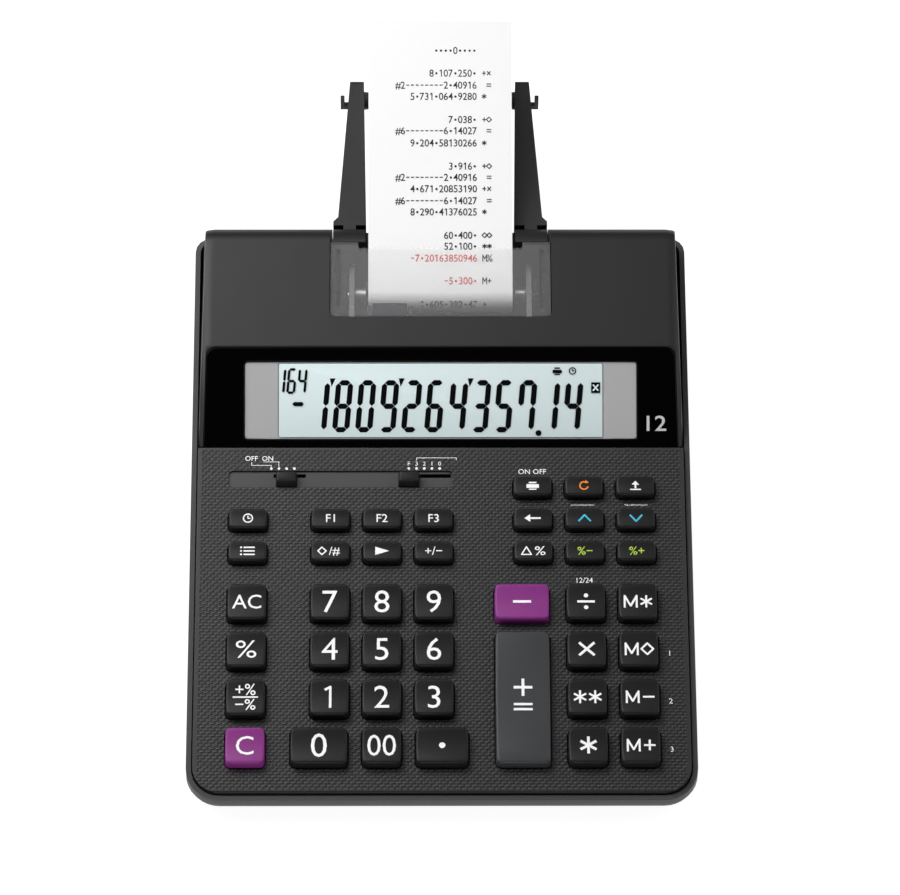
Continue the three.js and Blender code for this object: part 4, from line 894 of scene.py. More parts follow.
@dataclass
class Casework:
    """Upper and lower case.

    A screw's head is a profile of heights and radii, and its cross the two corners of one bar. A corner of
    the case is drawn with facets about an upright axis, and its radii lie within the reach.
    """

    feet: tuple = ((-78.45, 19.0), (78.45, 19.0), (-78.45, 220.93), (78.45, 220.93))
    foot_radius: float = 6.2
    foot_height: float = 2.49
    screws: tuple = (14.0, 122.0, 226.933)
    screw_side: float = 87.45
    screw_head: tuple = ((3.6, 0.0), (3.6, 2.35), (3.2, 2.4), (2.85, 1.9), (2.72, 1.0), (2.7, 0.0))
    screw_turn: float = 20.0
    screw_cross: tuple = ((-1.3, -0.25, 2.66), (1.3, 0.25, 2.71))
    corners: tuple = ((-84.45, 13.0), (84.45, 13.0), (-88.95, 231.433), (88.95, 231.433))
    corner_reach: tuple = (3.0, 14.0)
    facet: float = 22.5
    facet_slack: float = 0.6
    slack: float = 0.02
    level: float = 0.9
    panel_slack: float = 0.2
    channel_slack: float = 0.1

    def build(self) -> None:
        """Makes the two case halves and their screws."""
        upper = Piece("upper_case_shell", "case", "case", [Palette.CASE, Palette.PANEL, Palette.CHANNEL])
        upper.softened("upper_case", 0.35, self._upper_slot, self._rounded)
        lower = Piece("lower_case_shell", "case", "rim", [Palette.RIM, Palette.RUBBER])
        lower.softened("lower_case", 0.4, self._lower_slot, self._rounded)
        self._screws()

    def _rounded(self, mesh: bmesh.types.BMesh) -> None:
        """Halves the facets of the case's upright corners and puts the new points on the corners' circles.

        Args:
            mesh: a case half, merged, in metres.
        """
        for x, y in self.corners:
            axis = TO_ROW @ Vector((x, y, 0))
            side = Vector((math.copysign(1, x), -1 if y < BODY_DEPTH / 2 else 1))
            chords = [edge for edge in mesh.edges if self._is_facet(edge, axis, side)]
            made = bmesh.ops.subdivide_edges(mesh, edges=chords, cuts=1)["geom_inner"]
            for vert in (part for part in made if isinstance(part, bmesh.types.BMVert)):
                out = (vert.co - axis).xy / math.cos(math.radians(self.facet / 2))
                vert.co = (axis.x + out.x, axis.y + out.y, vert.co.z)

    def _is_facet(self, edge: bmesh.types.BMEdge, axis: Vector, side: Vector) -> bool:
        """Whether an edge is one chord of a corner's arc.

        Args:
            edge: the edge.
            axis: the corner's upright axis.
            side: the signs of X and Y towards the corner.

        Returns:
            True if both ends lie on one circle about the axis, one facet apart.
        """
        first, second = ((vert.co - axis).xy for vert in edge.verts)
        low, high = (reach * MM for reach in self.corner_reach)
        slack = self.slack * MM
        if not low < first.length < high or abs(first.length - second.length) > slack:
            return False
        if min(first.x * side.x, first.y * side.y, second.x * side.x, second.y * side.y) < -slack:
            return False
        return abs(math.degrees(first.angle(second)) - self.facet) < self.facet_slack

    def _upper_slot(self, middle: Vector, normal: Vector) -> int:
        """The panel's face takes the weave, the switch channel its own smooth grey, the rest the case's.

        Args:
            middle: a face's middle.
            normal: its normal.

        Returns:
            The slot's number.
        """
        back = PANEL.matrix().inverted()
        local, facing = back @ middle, back.to_3x3() @ normal
        if facing.z < self.level or not 0 < local.y < PANEL_LENGTH + 0.5:
            return 0
        if abs(local.z) < self.panel_slack:
            return 1
        return 2 if abs(local.z + CHANNEL_DEPTH) < self.channel_slack else 0

    def _lower_slot(self, middle: Vector, normal: Vector) -> int:
        """The feet are rubber."""
        near = any(math.hypot(middle.x - x, middle.y - y) < self.foot_radius for x, y in self.feet)
        return 1 if near and middle.z < self.foot_height else 0

    def _screws(self) -> None:
        """Pan heads with a cross recess, deep in their holes in the floor."""
        shape = Shape()
        for y in self.screws:
            for x in (-self.screw_side, self.screw_side):
                head = Shape().turned(self.screw_head, 20, AXIS_Z)
                for turn in (0, 90):
                    slot = Shape().block(*self.screw_cross).material(1)
                    head.add(slot.moved(Matrix.Rotation(math.radians(turn + self.screw_turn), 4, "Z")).mesh)
                shape.add(head.moved(Matrix.Translation((x, y, 0))).mesh)
        Piece("case_screws", "case", "steel", [Palette.STEEL, Palette.NYLON]).make(shape.mesh)


class Icon(Enum):
    """Legends that are drawn, not written, as the marks of a sketch."""

    ONE = (("line", [(-1.75, 2.9), (0.35, 4.1), (0.35, -4.6)], 0.95),)
    MINUS = (("bar", (-3.5, 0), (3.5, 0), 1.05),)
    PLUS_EQUALS = (("bar", (-3.6, 4.0), (3.6, 4.0), 1.1), ("bar", (0, 0.4), (0, 7.6), 1.1),
                   ("bar", (-3.6, -3.0), (3.6, -3.0), 0.95), ("bar", (-3.6, -5.1), (3.6, -5.1), 0.95))
    DIVIDE = (("bar", (-3.4, 0), (3.4, 0), 0.95), ("disc", 0, 2.5, 0.85), ("disc", 0, -2.5, 0.85))
    MULTIPLY = (("bar", (-2.95, -2.655), (2.95, 2.655), 1.0), ("bar", (-2.95, 2.655), (2.95, -2.655), 1.0))
    STAR = (("star", 0, 0, 7.0, 1.05),)
    TWO_STARS = (("star", -2.9, 0, 5.4, 0.8), ("star", 2.9, 0, 5.4, 0.8))
    POINT = (("disc", 0, 0, 1.2),)
    MEMORY_STAR = (("letter_m", -2.8, 0, 5.4, 0.78), ("star", 3.2, 0, 5.13, 0.75))
    MEMORY_PLUS = (("letter_m", -2.8, 0, 5.3, 0.78), ("bar", (1.1, 0), (5.5, 0), 0.78),
                   ("bar", (3.3, -2.2), (3.3, 2.2), 0.78))
    MEMORY_MINUS = (("letter_m", -2.8, 0, 5.3, 0.78), ("bar", (1.1, 0), (5.5, 0), 0.78))
    MEMORY_DIAMOND = (("letter_m", -2.8, 0, 5.4, 0.78), ("diamond", 3.2, 0, 4.6, 0.75))
    MARKUP = (("text", "+%", 4.5, 0, 3.1, 0, 1.0, 0.024), ("text", "−%", 4.5, 0, -3.1, 0, 1.0, 0.024),
              ("bar", (-4.8, 0), (4.8, 0), 0.6))
    DIAMOND_HASH = (("diamond", -3.2, 0, 3.2, 0.5), ("text", "/#", 3.4, 1.6, 0, 0, 1.0, 0.012))
    WEDGE = (("shape", [(-2.6, -1.75), (2.8, 0), (-2.6, 1.75)]),)
    DELTA = (("line", [(-4.6, -1.6), (-0.8, -1.6), (-2.7, 1.7), (-4.6, -1.6), (-0.8, -1.6)], 0.5),
             ("text", "%", 3.74, 2.6, 0, 0, 1.2, 0.012))
    LIST = tuple(mark for y in (1.5, 0, -1.5)
                 for mark in (("disc", -2.5, y, 0.42), ("bar", (-1.5, y), (2.8, y), 0.6)))
    CLOCK = (("arc", 0, 0, 1.75, 0.5), ("line", [(0, 1.15), (0, -0.05), (0.95, -0.05)], 0.45))
    BACK = (("bar", (-1.4, 0), (3.0, 0), 0.75), ("shape", [(-3.4, 0), (-1.1, -1.6), (-1.1, 1.6)]))
    PRINTER = (("shape", [(-2.4, -1.0), (2.4, -1.0), (2.4, 0.6), (-2.4, 0.6)]),
               ("bar", (-1.5, 1.3), (1.5, 1.3), 0.6), ("bar", (-1.5, -1.6), (1.5, -1.6), 0.5))
    AGAIN = (("arc", 0, 0, 1.6, 0.6, 60, 285), ("shape", [(0.75, 2.4), (1.9, 1.25), (0.3, 0.95)]))
    FEED = (("bar", (0, -1.2), (0, 0.7), 0.7), ("shape", [(-1.5, 0.4), (1.5, 0.4), (0, 2.0)]),
            ("bar", (-2.1, -1.7), (2.1, -1.7), 0.55))
    UP = (("line", [(-2.4, -1.35), (0, 1.35), (2.4, -1.35)], 0.68),)
    DOWN = (("line", [(-2.4, 1.35), (0, -1.35), (2.4, 1.35)], 0.68),)


@dataclass(frozen=True)
class Lettering:
    """How legends are written. Small letters are drawn bolder than the font, large ones lighter."""

    height: float = 9.2
    small_height: float = 3.4
    heights: tuple = (("C", 7.6), ("%", 7.2), ("AC", 5.8), ("0", 9.6), ("00", 8.6))
    widths: tuple = (("00", 0.93), ("%", 1.22))
    bold_below: float = 7.0
    bold: float = 0.012
    light: float = -0.021

    def written(self, words: str, small: bool) -> Sketch:
        """Writes a legend about the middle of a key's top.

        Args:
            words: what is written.
            small: whether the key is one of the small ones.

        Returns:
            The sketch.
        """
        height = self.small_height if small else dict(self.heights).get(words, self.height)
        bold = self.bold if height < self.bold_below else self.light
        return Sketch().text(words, height, widen=dict(self.widths).get(words, 1.0), bold=bold)


@dataclass(frozen=True)
class Key:
    """One key: its name, the middle and front of its cap, its legend and its size."""

    name: str
    x: float
    front: float
    legend: object
    width: float = 15.5
    length: float = 15.6
    height: float = 4.2
    finish: Finish = Palette.KEY
    ink: Finish = Palette.WHITE
    small_length: float = 9.0
    small_height: float = 3.6

    def marks(self) -> Sketch:
        """The legend, about the middle of the cap's top.

        Returns:
            The sketch.
        """
        if isinstance(self.legend, Icon):
            return Sketch().draw(self.legend.value)
        return Lettering().written(self.legend, self.length == self.small_length)


@dataclass
class Keyboard:
    """The keys in their holes, and their legends.

    Each column has its place, its first row and its keys with their legends, from front to rear.
    """

    draft: float = 0.45
    flange: float = 1.0
    flange_depth: float = 4.6
    flange_top: float = 2.5
    corner: float = 2.0
    crown: float = 0.8
    dish: float = 0.58
    dish_steps: int = 10
    rows: tuple = (9.9, 29.9, 49.9, 69.9)
    small_rows: tuple = (94.9, 108.9, 122.9)
    columns: tuple = (
        (-74.95, 0, {"clear": "C", "markup": Icon.MARKUP, "percent": "%", "clear_all": "AC"}),
        (-42.95, 1, {"1": Icon.ONE, "4": "4", "7": "7"}),
        (-22.95, 0, {"00": "00", "2": "2", "5": "5", "8": "8"}),
        (-2.95, 1, {"3": "3", "6": "6", "9": "9"}),
        (55.65, 0, {"total": Icon.STAR, "grand_total": Icon.TWO_STARS, "multiply": Icon.MULTIPLY,
                    "divide": Icon.DIVIDE}),
        (75.65, 0, {"memory_plus": Icon.MEMORY_PLUS, "memory_minus": Icon.MEMORY_MINUS,
                    "memory_subtotal": Icon.MEMORY_DIAMOND, "memory_total": Icon.MEMORY_STAR}),
    )
    small_columns: tuple = (
        (-74.95, 0, {"item": Icon.LIST, "time": Icon.CLOCK}),
        (-42.95, 0, {"non_add": Icon.DIAMOND_HASH, "cost": "F1"}),
        (-22.95, 0, {"shift": Icon.WEDGE, "sell": "F2"}),
        (-2.95, 0, {"sign": "+/−", "margin": "F3"}),
        (35.65, 0, {"delta_percent": Icon.DELTA, "correct": Icon.BACK, "print": Icon.PRINTER}),
        (55.65, 0, {"tax_minus": "%−", "up": Icon.UP, "reprint": Icon.AGAIN}),
        (75.65, 0, {"tax_plus": "%+", "down": Icon.DOWN, "feed": Icon.FEED}),
    )

    def keys(self) -> list:
        """Lists the keys.

        Returns:
            The keys.
        """
        inks = {"tax_minus": Palette.LIME, "tax_plus": Palette.LIME, "up": Palette.CYAN, "down": Palette.CYAN,
                "reprint": Palette.ORANGE}
        large = [
            Key(name, x, self.rows[first + i], legend,
                finish=Palette.PURPLE if name == "clear" else Palette.KEY)
            for x, first, column in self.columns for i, (name, legend) in enumerate(column.items())]
        small = [
            Key(name, x, self.small_rows[first + i], legend, length=Key.small_length,
                height=Key.small_height, ink=inks.get(name, Palette.WHITE))
            for x, first, column in self.small_columns for i, (name, legend) in enumerate(column.items())]
        wide = [
            Key("0", -46.8, self.rows[0], "0", 22.2), Key("point", 0.05, self.rows[0], Icon.POINT, 20.5),
            Key("minus", 31.0, self.rows[3], Icon.MINUS, 21.4, finish=Palette.PURPLE),
            Key("plus_equals", 31.0, self.rows[0], Icon.PLUS_EQUALS, 21.4, 55.6, finish=Palette.SLATE)]
        return large + small + wide

    def build(self) -> None:
        """Makes every key."""
        for key in self.keys():
            self._cap(key)

    def _cap(self, key: Key) -> None:
        """One cap: flange, drafted body, rounded crown and a slightly hollow top, with its legend.

        Args:
            key: the key.
        """
        shape = Shape()
        face = shape.plate(key.width + 2 * self.flange, key.length + 2 * self.flange,
                           self.corner + self.flange, -self.flange_depth)
        face = shape.raise_face(face, self.flange_depth - self.flange_top)
        bmesh.ops.inset_region(shape.mesh, faces=[face], thickness=self.flange, use_even_offset=True)
        shares = ((size - 2 * self.draft) / size for size in (key.width, key.length))
        face = shape.raise_face(face, self.flange_top + key.height, *shares)
        shape.bevelled(list(face.edges), self.crown, 4, clamp=True)
        shape.outward()
        self._dished(shape.mesh, key)
        marks = key.marks().colour(1)
        bmesh.ops.translate(marks.mesh, vec=(0, 0, key.height), verts=marks.mesh.verts)
        self._dished(marks.mesh, key)
        matrix = PANEL.place(key.x, key.front + key.length / 2, 0)
        shape.moved(matrix).add(marks.laid(matrix))
        node = "key_" + key.name
        slot = {Palette.PURPLE: "purple", Palette.SLATE: "slate"}.get(key.finish, "key")
        Piece(node + "_cap", node, slot, [key.finish, key.ink], (node,)).make(shape.mesh)

    def _dished(self, mesh: bmesh.types.BMesh, key: Key) -> None:
        """Hollows a cap's top, or what is printed on it, from front to rear.

        Args:
            mesh: the mesh, about the middle of the key.
            key: the key.
        """
        above = key.height - self.crown
        reach = key.length / 2 - self.draft - self.crown
        for i in range(self.dish_steps + 1):
            y = reach * (2 * i / self.dish_steps - 1)
            geometry = [g for g in [*mesh.verts, *mesh.edges, *mesh.faces] if self._height(g) > above]
            bmesh.ops.bisect_plane(mesh, geom=geometry, plane_co=(0, y, 0), plane_no=(0, 1, 0), dist=1e-5)
        depth = self.dish * min(1.0, key.length / Key.length)
        for vert in mesh.verts:
            share = abs(vert.co.y) / reach
            if vert.co.z > above and share < 1:
                vert.co.z -= depth * (1 - share ** 2) * min(1.0, (vert.co.z - above) / self.crown)

    def _height(self, part: object) -> float:
        """Lowest height of a vertex, an edge or a face."""
        return part.co.z if isinstance(part, bmesh.types.BMVert) else min(v.co.z for v in part.verts)


@dataclass
class Switches:
    """The two slide switches and the marks printed on the key panel.

    A rib has its half length, its half width and its depth in the knob. The stem has its middle and half
    sizes across and up the panel, then its lowest and highest level; the foot its half size and its levels.
    """

    front: float = 128.3
    fit: float = 0.3
    width: float = 8.4
    length: float = 5.7
    height: float = 3.6
    slope: float = 1.1
    corner: float = 0.6
    rounding: float = 0.4
    places: tuple = (("slider_function", -60.25), ("slider_decimal", -12.5))
    ribs: tuple = (-0.85, 0.25, 1.35)
    rib: tuple = (2.6, 0.22, 0.2)
    rib_bevel: float = 0.08
    rib_sink: float = 0.01
    stem: tuple = (2.7, 1.5, 0.5, -2.9, 0.5)
    foot: tuple = (3.0, -3.7, -2.5)
    foot_bevel: float = 0.2
    rear_play: float = 5.25
    set_in: float = 0.5
    marks: tuple = (
        *(("disc", x, 136.4, 0.55) for x in (-66.25, -63.25, -60.25, -57.25)),
        ("text", "OFF", 2.0, -74.0, 140.8, 0, 1.0, 0.01), ("text", "ON", 2.0, -67.7, 140.8, 0, 1.0, 0.01),
        ("line", [(-73.9, 139.2), (-73.9, 137.8), (-66.25, 137.8), (-66.25, 136.6)], 0.22),
        ("line", [(-69.4, 139.3), (-63.25, 139.3), (-63.25, 136.6)], 0.22),
        *(mark for x, number in zip((-12.5, -9.5, -6.5, -3.5, -0.5), "F3210")
          for mark in (("disc", x, 136.4, 0.55), ("text", number, 1.7, x, 138.5, 0, 1.0, 0.01))),
        ("line", [(-9.5, 139.9), (-9.5, 141.0), (6.0, 141.0), (6.0, 139.9)], 0.22),
        *(("text", words, 2.1, x, y, 0, 1.0, 0.01) for words, x, y in (
            ("3", 87.6, 17.5), ("2", 87.6, 37.5), ("1", 87.6, 57.5), ("12/24", 55.4, 88.3),
            ("ON OFF", 35.65, 135.0))),
        ("bar", (50.5, 120.5), (59.6, 120.5), 0.25), ("bar", (71.3, 120.5), (80.4, 120.5), 0.25),
    )

    def build(self) -> None:
        """Makes both knobs and the print behind the channel and beside the keys."""
        for node, x in self.places:
            self._knob(node, x)
        marks = Sketch().draw(self.marks)
        Piece("panel_print", "case", "case", [Palette.WHITE]).make(marks.laid(PANEL.matrix()))

    def _knob(self, node: str, x: float) -> None:
        """A knob with a sloping front and three grip ribs, on a stem with a foot plate.

        Args:
            node: the switch's CAD node.
            x: its place.
        """
        shape = Shape()
        base = self.fit - CHANNEL_DEPTH
        crest = self.height + base
        face = shape.plate(self.width, self.length, self.corner, base)
        face = shape.raise_face(face, self.height, (self.width - 2 * self.set_in) / self.width,
                                (self.length - self.slope - self.set_in) / self.length,
                                (self.slope - self.set_in) / 2)
        shape.bevelled(list(face.edges), self.rounding, 3)
        shape.outward()
        side, half, sunk = self.rib
        for y in self.ribs:
            shape.block((-side, y - half, crest - sunk), (side, y + half, crest - self.rib_sink),
                        self.rib_bevel)
        middle, side, half, low, high = self.stem
        rear = self.rear_play - self.fit - self.length / 2
        shape.block((middle - side, rear - half, low), (middle + side, rear + half, high))
        side, low, high = self.foot
        shape.block((middle - side, rear - side, low), (middle + side, rear + side, high), self.foot_bevel)
        shape.moved(PANEL.place(x, self.front + self.fit + self.length / 2, 0))
        Piece(node + "_knob", node, "key", [Palette.KEY], (node,)).make(shape.mesh)


@dataclass
class DisplayModule:
    """Gloss plate, silver surround, glass and the segments shown on it.

    A digit has its width, its height and the width of a segment; the fall of the surround's inner edge has
    its height and its shares of width and length; the count has its first middle, its foot and its pitch. A
    comma has its corners, from the digit's upper right, and the point its place and its radius.
    """

    surround: tuple = (153.4, 30.1)
    surround_foot: float = 5.2
    surround_inner: tuple = (127.6, 29.5)
    fall: tuple = (-0.5, 0.997, 0.99)
    glass: tuple = (126.6, 28.9)
    glass_foot: float = 0.45
    middle: float = 18.65
    sink: float = 0.7
    rise: float = 0.3
    number: str = "180926435714"
    digit: tuple = (6.8, 20.5, 2.1)
    digit_foot: float = 6.1
    pitch: float = 9.01
    last: float = 50.8
    comma_after: tuple = (0, 3, 6)
    comma: tuple = ((2.15, -2.6), (3.75, 0.7), (1.45, 0.7))
    point: tuple = (0.95, -0.3, 1.15)
    count: str = "164"
    count_digit: tuple = (3.5, 10.1, 0.95)
    count_place: tuple = (-63.0, 21.2, 4.15)
    lean: float = 0.0875
    gap_share: float = 0.05
    marks: tuple = (
        ("shape", [(-58.2, 17.2), (-57.4, 16.4), (-54.4, 16.4), (-53.6, 17.2), (-54.4, 18.0), (-57.4, 18.0)]),
        ("shape", [(43.8, 29.3), (47.4, 29.3), (47.4, 30.6), (43.8, 30.6)]),
        ("bar", (44.5, 31.3), (46.7, 31.3), 0.5), ("bar", (44.5, 28.8), (46.7, 28.8), 0.4),
        ("arc", 51.6, 30.2, 1.25, 0.4), ("line", [(51.6, 31.0), (51.6, 30.2), (52.3, 30.2)], 0.35),
        ("shape", [(58.9, 21.5), (62.4, 21.5), (62.4, 25.7), (58.9, 25.7)]),
        ("bar", (59.6, 22.4), (61.7, 24.8), 0.55, 1), ("bar", (59.6, 24.8), (61.7, 22.4), 0.55, 1),
    )
    segments: dict = field(default_factory=lambda: {
        "0": "abcdef", "1": "bc", "2": "abged", "3": "abgcd", "4": "fgbc", "5": "afgcd",
        "6": "afgedc", "7": "abcf", "8": "abcdefg", "9": "abcdfg"})

    def build(self) -> None:
        """Makes the pieces of the display."""
        Piece("display_plate", "case", "gloss", [Palette.GLOSS]).softened("display_window", 0.25)
        self._surround()
        self._glass()
        self._shown()
        marks = Sketch().text("12", 5.9, 84.4, 9.6, widen=1.15, bold=0.055)
        Piece("plate_print", "case", "gloss", [Palette.GREY]).make(marks.laid(DISPLAY.matrix()))

    def _surround(self) -> None:
        """A satin frame whose inner edge falls to the glass."""
        shape = Shape()
        face = shape.plate(*self.surround, 1.0, -self.surround_foot)
        face = shape.raise_face(face, self.surround_foot - self.sink)
        shares = (inner / outer for inner, outer in zip(self.surround_inner, self.surround))
        face = shape.raise_face(face, 0.0, *shares)
        shape.raise_face(face, *self.fall)
        shape.outward().moved(DISPLAY.place(0, self.middle, 0))
        piece = Piece("display_surround", "case", "display", [Palette.SURROUND], ("lcd_panel",))
        piece.rounded(piece.make(shape.mesh), 0.2)

    def _glass(self) -> None:
        """The pale glass, a step proud of the surround."""
        shape = Shape()
        face = shape.plate(*self.glass, 0.5, -self.sink - self.glass_foot)
        face = shape.raise_face(face, self.glass_foot + self.rise)
        shape.bevelled(list(face.edges), 0.2)
        shape.outward().moved(DISPLAY.place(0, self.middle, 0))
        Piece("display_glass", "case", "display", [Palette.GLASS]).make(shape.mesh)

    def _digit(self, sketch: Sketch, number: str, x: float, foot: float, sizes: tuple) -> None:
        """One number of seven pointed segments.

        Args:
            sketch: where it is drawn.
            number: which number.
            x: middle of its cell.
            foot: its lowest line.
            sizes: its width, its height and the width of a segment.
        """
        width, height, stroke = sizes
        half, gap, reach = stroke / 2, self.gap_share * stroke, height / 2
        left, right, low, high = half - width / 2, width / 2 - half, half, height - half
        ends = {
            "a": ((left, high), (right, high)), "g": ((left, reach), (right, reach)),
            "d": ((left, low), (right, low)), "f": ((left, reach), (left, high)),
            "b": ((right, reach), (right, high)), "e": ((left, low), (left, reach)),
            "c": ((right, low), (right, reach)),
        }
        for name in self.segments[number]:
            a, b = Vector(ends[name][0]), Vector(ends[name][1])
            along = (b - a).normalized()
            a, b = a + along * gap, b - along * gap
            side, point = Vector((-along.y, along.x)) * half, along * half
            points = [a, a + point - side, b - point - side, b, b - point + side, a + point + side]
            sketch.shape([(x + p.x + self.lean * p.y, foot + p.y) for p in points])

    def _shown(self) -> None:
        """The numbers and marks that the glass shows."""
        sketch = Sketch()
        width, height, _ = self.digit
        for i, number in enumerate(self.number):
            x = self.last - (len(self.number) - 1 - i) * self.pitch
            self._digit(sketch, number, x, self.digit_foot, self.digit)
            if i in self.comma_after:
                edge, top = x + width / 2, self.digit_foot + height
                sketch.shape([(edge + right, top + up) for right, up in self.comma])
        right, up, radius = self.point
        sketch.disc(self.last - 1.5 * self.pitch + right, self.digit_foot + up, radius)
        x, foot, pitch = self.count_place
        for i, number in enumerate(self.count):
            self._digit(sketch, number, x + pitch * i, foot, self.count_digit)
        sketch.draw(self.marks)
        piece = Piece("display_segments", "case", "display", [Palette.SEGMENT, Palette.GLASS])
        piece.make(sketch.laid(DISPLAY.place(0, 0, self.rise - self.sink)))


@dataclass
class PaperRoll:
    """The wound roll on its card core."""

    y: float = 303.733
    z: float = 51.207
    radius: float = 25.0
    core: float = 6.0
    bore: float = 4.15
    half: float = 28.5
    edge: float = 0.15
    set_in: float = 0.6
    level: float = 0.9
    steps: int = 72
    core_steps: int = 36

    def build(self) -> None:
        """Spins the roll, its wound ends set in a little and its core standing proud."""
        end, rim = self.half - self.set_in, self.radius - self.edge
        outer = Shape().turned([(-end, self.core), (-end, rim), (self.edge - end, self.radius),
                                (end - self.edge, self.radius), (end, rim), (end, self.core)], self.steps)
        paint([face for face in outer.mesh.faces if abs(face.normal.x) > self.level], 1)
        core = Shape().turned([(-self.half, self.bore), (-self.half, self.core), (self.half, self.core),
                               (self.half, self.bore), (-self.half, self.bore)], self.core_steps)
        outer.add(core.material(2).mesh).moved(Matrix.Translation((0, self.y, self.z)))
        finishes = [Palette.PAPER, Palette.WOUND, Palette.CARD]
        Piece("wound_paper_roll", "paper_roll", "paper", finishes, ("paper_roll",)).make(outer.mesh)


@dataclass
class PaperStrip:
    """The paper from the roll, round the platen and out past the tear edge, and what is printed on it.

    Each printed row has its distance past the tear edge, its number, its sign and its ink's slot. A character
    drawn with strokes has their width and then their points.
    """

    half: float = 28.5
    thickness: float = 0.12
    exit_y: float = 224.605
    exit_z: float = 57.51
    rise: float = 20.0
    curl: float = 5.0
    shown: float = 94.0
    run: float = 16.779
    platen_y: float = 211.043
    platen_z: float = 45.71
    wrap: float = 6.45
    roll: PaperRoll = field(default_factory=PaperRoll)
    roll_gap: float = 0.45
    lap: float = 45.0
    lap_sink: float = 0.36
    edge_sag: float = 0.2
    columns: int = 12
    lap_steps: int = 12
    wrap_steps: int = 30
    curl_steps: int = 24
    line_height: float = 2.9
    pitch: float = 1.9
    right: float = 13.7
    layer_share: float = 0.1
    rows: tuple = (
        (82.0, "....0....", "", 0), (72.7, "8.107.250.", "+×", 0), (67.8, "#2--------2.40916", " =", 0),
        (63.2, "5.731.064.9280", "∗", 0), (53.7, "7.038.", "+◇", 0), (49.1, "#6--------6.14027", " =", 0),
        (44.1, "9.204.58130266", "∗", 0), (34.6, "3.916.", "+◇", 0), (30.0, "#2--------2.40916", " =", 0),
        (25.3, "4.671.20853190", "+×", 0), (20.4, "#6--------6.14027", " =", 0),
        (15.8, "8.290.41376025", "∗", 0), (6.2, "60.400.", "◇◇", 0), (1.7, "52.100.", "∗∗", 0),
        (-3.2, "-7.20163850946", "M%", 1), (-12.5, "-5.300.", "M+", 1), (-22.0, "1.605.382.47", "+", 0),
    )
    strokes: dict = field(default_factory=lambda: {
        " ": (0.0,),
        "-": (0.45, ((-0.6, 0), (0.6, 0))),
        "1": (0.42, ((-0.55, 0.8), (0.15, 1.3), (0.15, -1.45))),
        "+": (0.42, ((-0.75, 0), (0.75, 0)), ((0, -0.9), (0, 0.9))),
        "×": (0.42, ((-0.7, -0.8), (0.7, 0.8)), ((-0.7, 0.8), (0.7, -0.8))),
        "M": (0.4, ((-0.75, -1.4), (-0.75, 1.3), (0, -0.3), (0.75, 1.3), (0.75, -1.4))),
    })

    def angle_of_run(self) -> float:
        """Angle at which the straight run touches the roll and the platen.

        Returns:
            The angle, in radians.
        """
        y, z = self.roll.y - self.platen_y, self.roll.z - self.platen_z
        radius = self.roll.radius + self.roll_gap
        return math.atan2(z, y) - math.pi / 2 - math.asin((radius - self.wrap) / math.hypot(y, z))

    def on_platen(self, angle: float) -> tuple:
        """Point (y, z) of the paper at an angle round the platen."""
        return self.platen_y + self.wrap * math.cos(angle), self.platen_z + self.wrap * math.sin(angle)

    def at(self, s: float) -> tuple:
        """Point and direction of the printed part.

        Args:
            s: distance past the tear edge.

        Returns:
            The point (y, z) and the angle of the paper there, in radians.
        """
        rise = math.radians(self.rise)
        if s < -self.run:
            turn = math.pi / 2 + rise - (self.run + s) / self.wrap
            return self.on_platen(turn), turn - math.pi / 2
        if s <= 0:
            return (self.exit_y + s * math.cos(rise), self.exit_z + s * math.sin(rise)), rise
        bend = self.shown / math.radians(self.curl)
        angle = rise + s / bend
        y = self.exit_y + bend * (math.sin(angle) - math.sin(rise))
        z = self.exit_z - bend * (math.cos(angle) - math.cos(rise))
        return (y, z), angle

    def path(self) -> list:
        """Middle line of the whole strip.

        Returns:
            Its points (y, z).
        """
        touch = self.angle_of_run()
        last = math.radians(90 + self.rise) - 2 * math.pi
        points = []
        for i in range(self.lap_steps + 1):
            share = 1 - i / self.lap_steps
            angle = touch + math.radians(self.lap) * share
            lie = self.roll.radius + self.roll_gap - self.lap_sink * share
            points.append((self.roll.y + lie * math.cos(angle), self.roll.z + lie * math.sin(angle)))
        steps = self.wrap_steps
        points += [self.on_platen(touch + (last - touch) * i / steps) for i in range(steps + 1)]
        steps = self.curl_steps
        return points + [self.at(self.shown * i / steps)[0] for i in range(steps + 1)]

    def sag(self, x: float, s: float) -> float:
        """How far the strip's long edges lie below its middle, past the tear edge."""
        return -self.edge_sag * (x / self.half) ** 2 * min(1.0, max(0.0, s / self.shown))

    def build(self) -> None:
        """Makes the strip and its print."""
        self._strip()
        self._print()

    def _strip(self) -> None:
        """Draws a line of points across X along the path, then gives it its thickness."""
        path = self.path()
        mesh = bmesh.new()
        across = [-self.half + 2 * self.half * i / self.columns for i in range(self.columns + 1)]
        verts = [mesh.verts.new((x, *path[0])) for x in across]
        edges = [mesh.edges.new(pair) for pair in zip(verts, verts[1:])]
        for before, after in zip(path, path[1:]):
            made = bmesh.ops.extrude_edge_only(mesh, edges=edges)["geom"]
            edges = [g for g in made if isinstance(g, bmesh.types.BMEdge)]
            moved = [g for g in made if isinstance(g, bmesh.types.BMVert)]
            bmesh.ops.translate(mesh, vec=(0, after[0] - before[0], after[1] - before[1]), verts=moved)
        for vert in mesh.verts:
            y, z = vert.co.y - self.exit_y, vert.co.z - self.exit_z
            if y > 0 and z > 0:
                vert.co.z += self.sag(vert.co.x, math.hypot(y, z))
        made = Piece("paper_sheet", "case", "paper", [Palette.PAPER], ("paper_strip",)).make(mesh)
        wall = made.modifiers.new("thickness", "SOLIDIFY")
        wall.thickness = self.thickness * MM
        wall.offset = 0.0

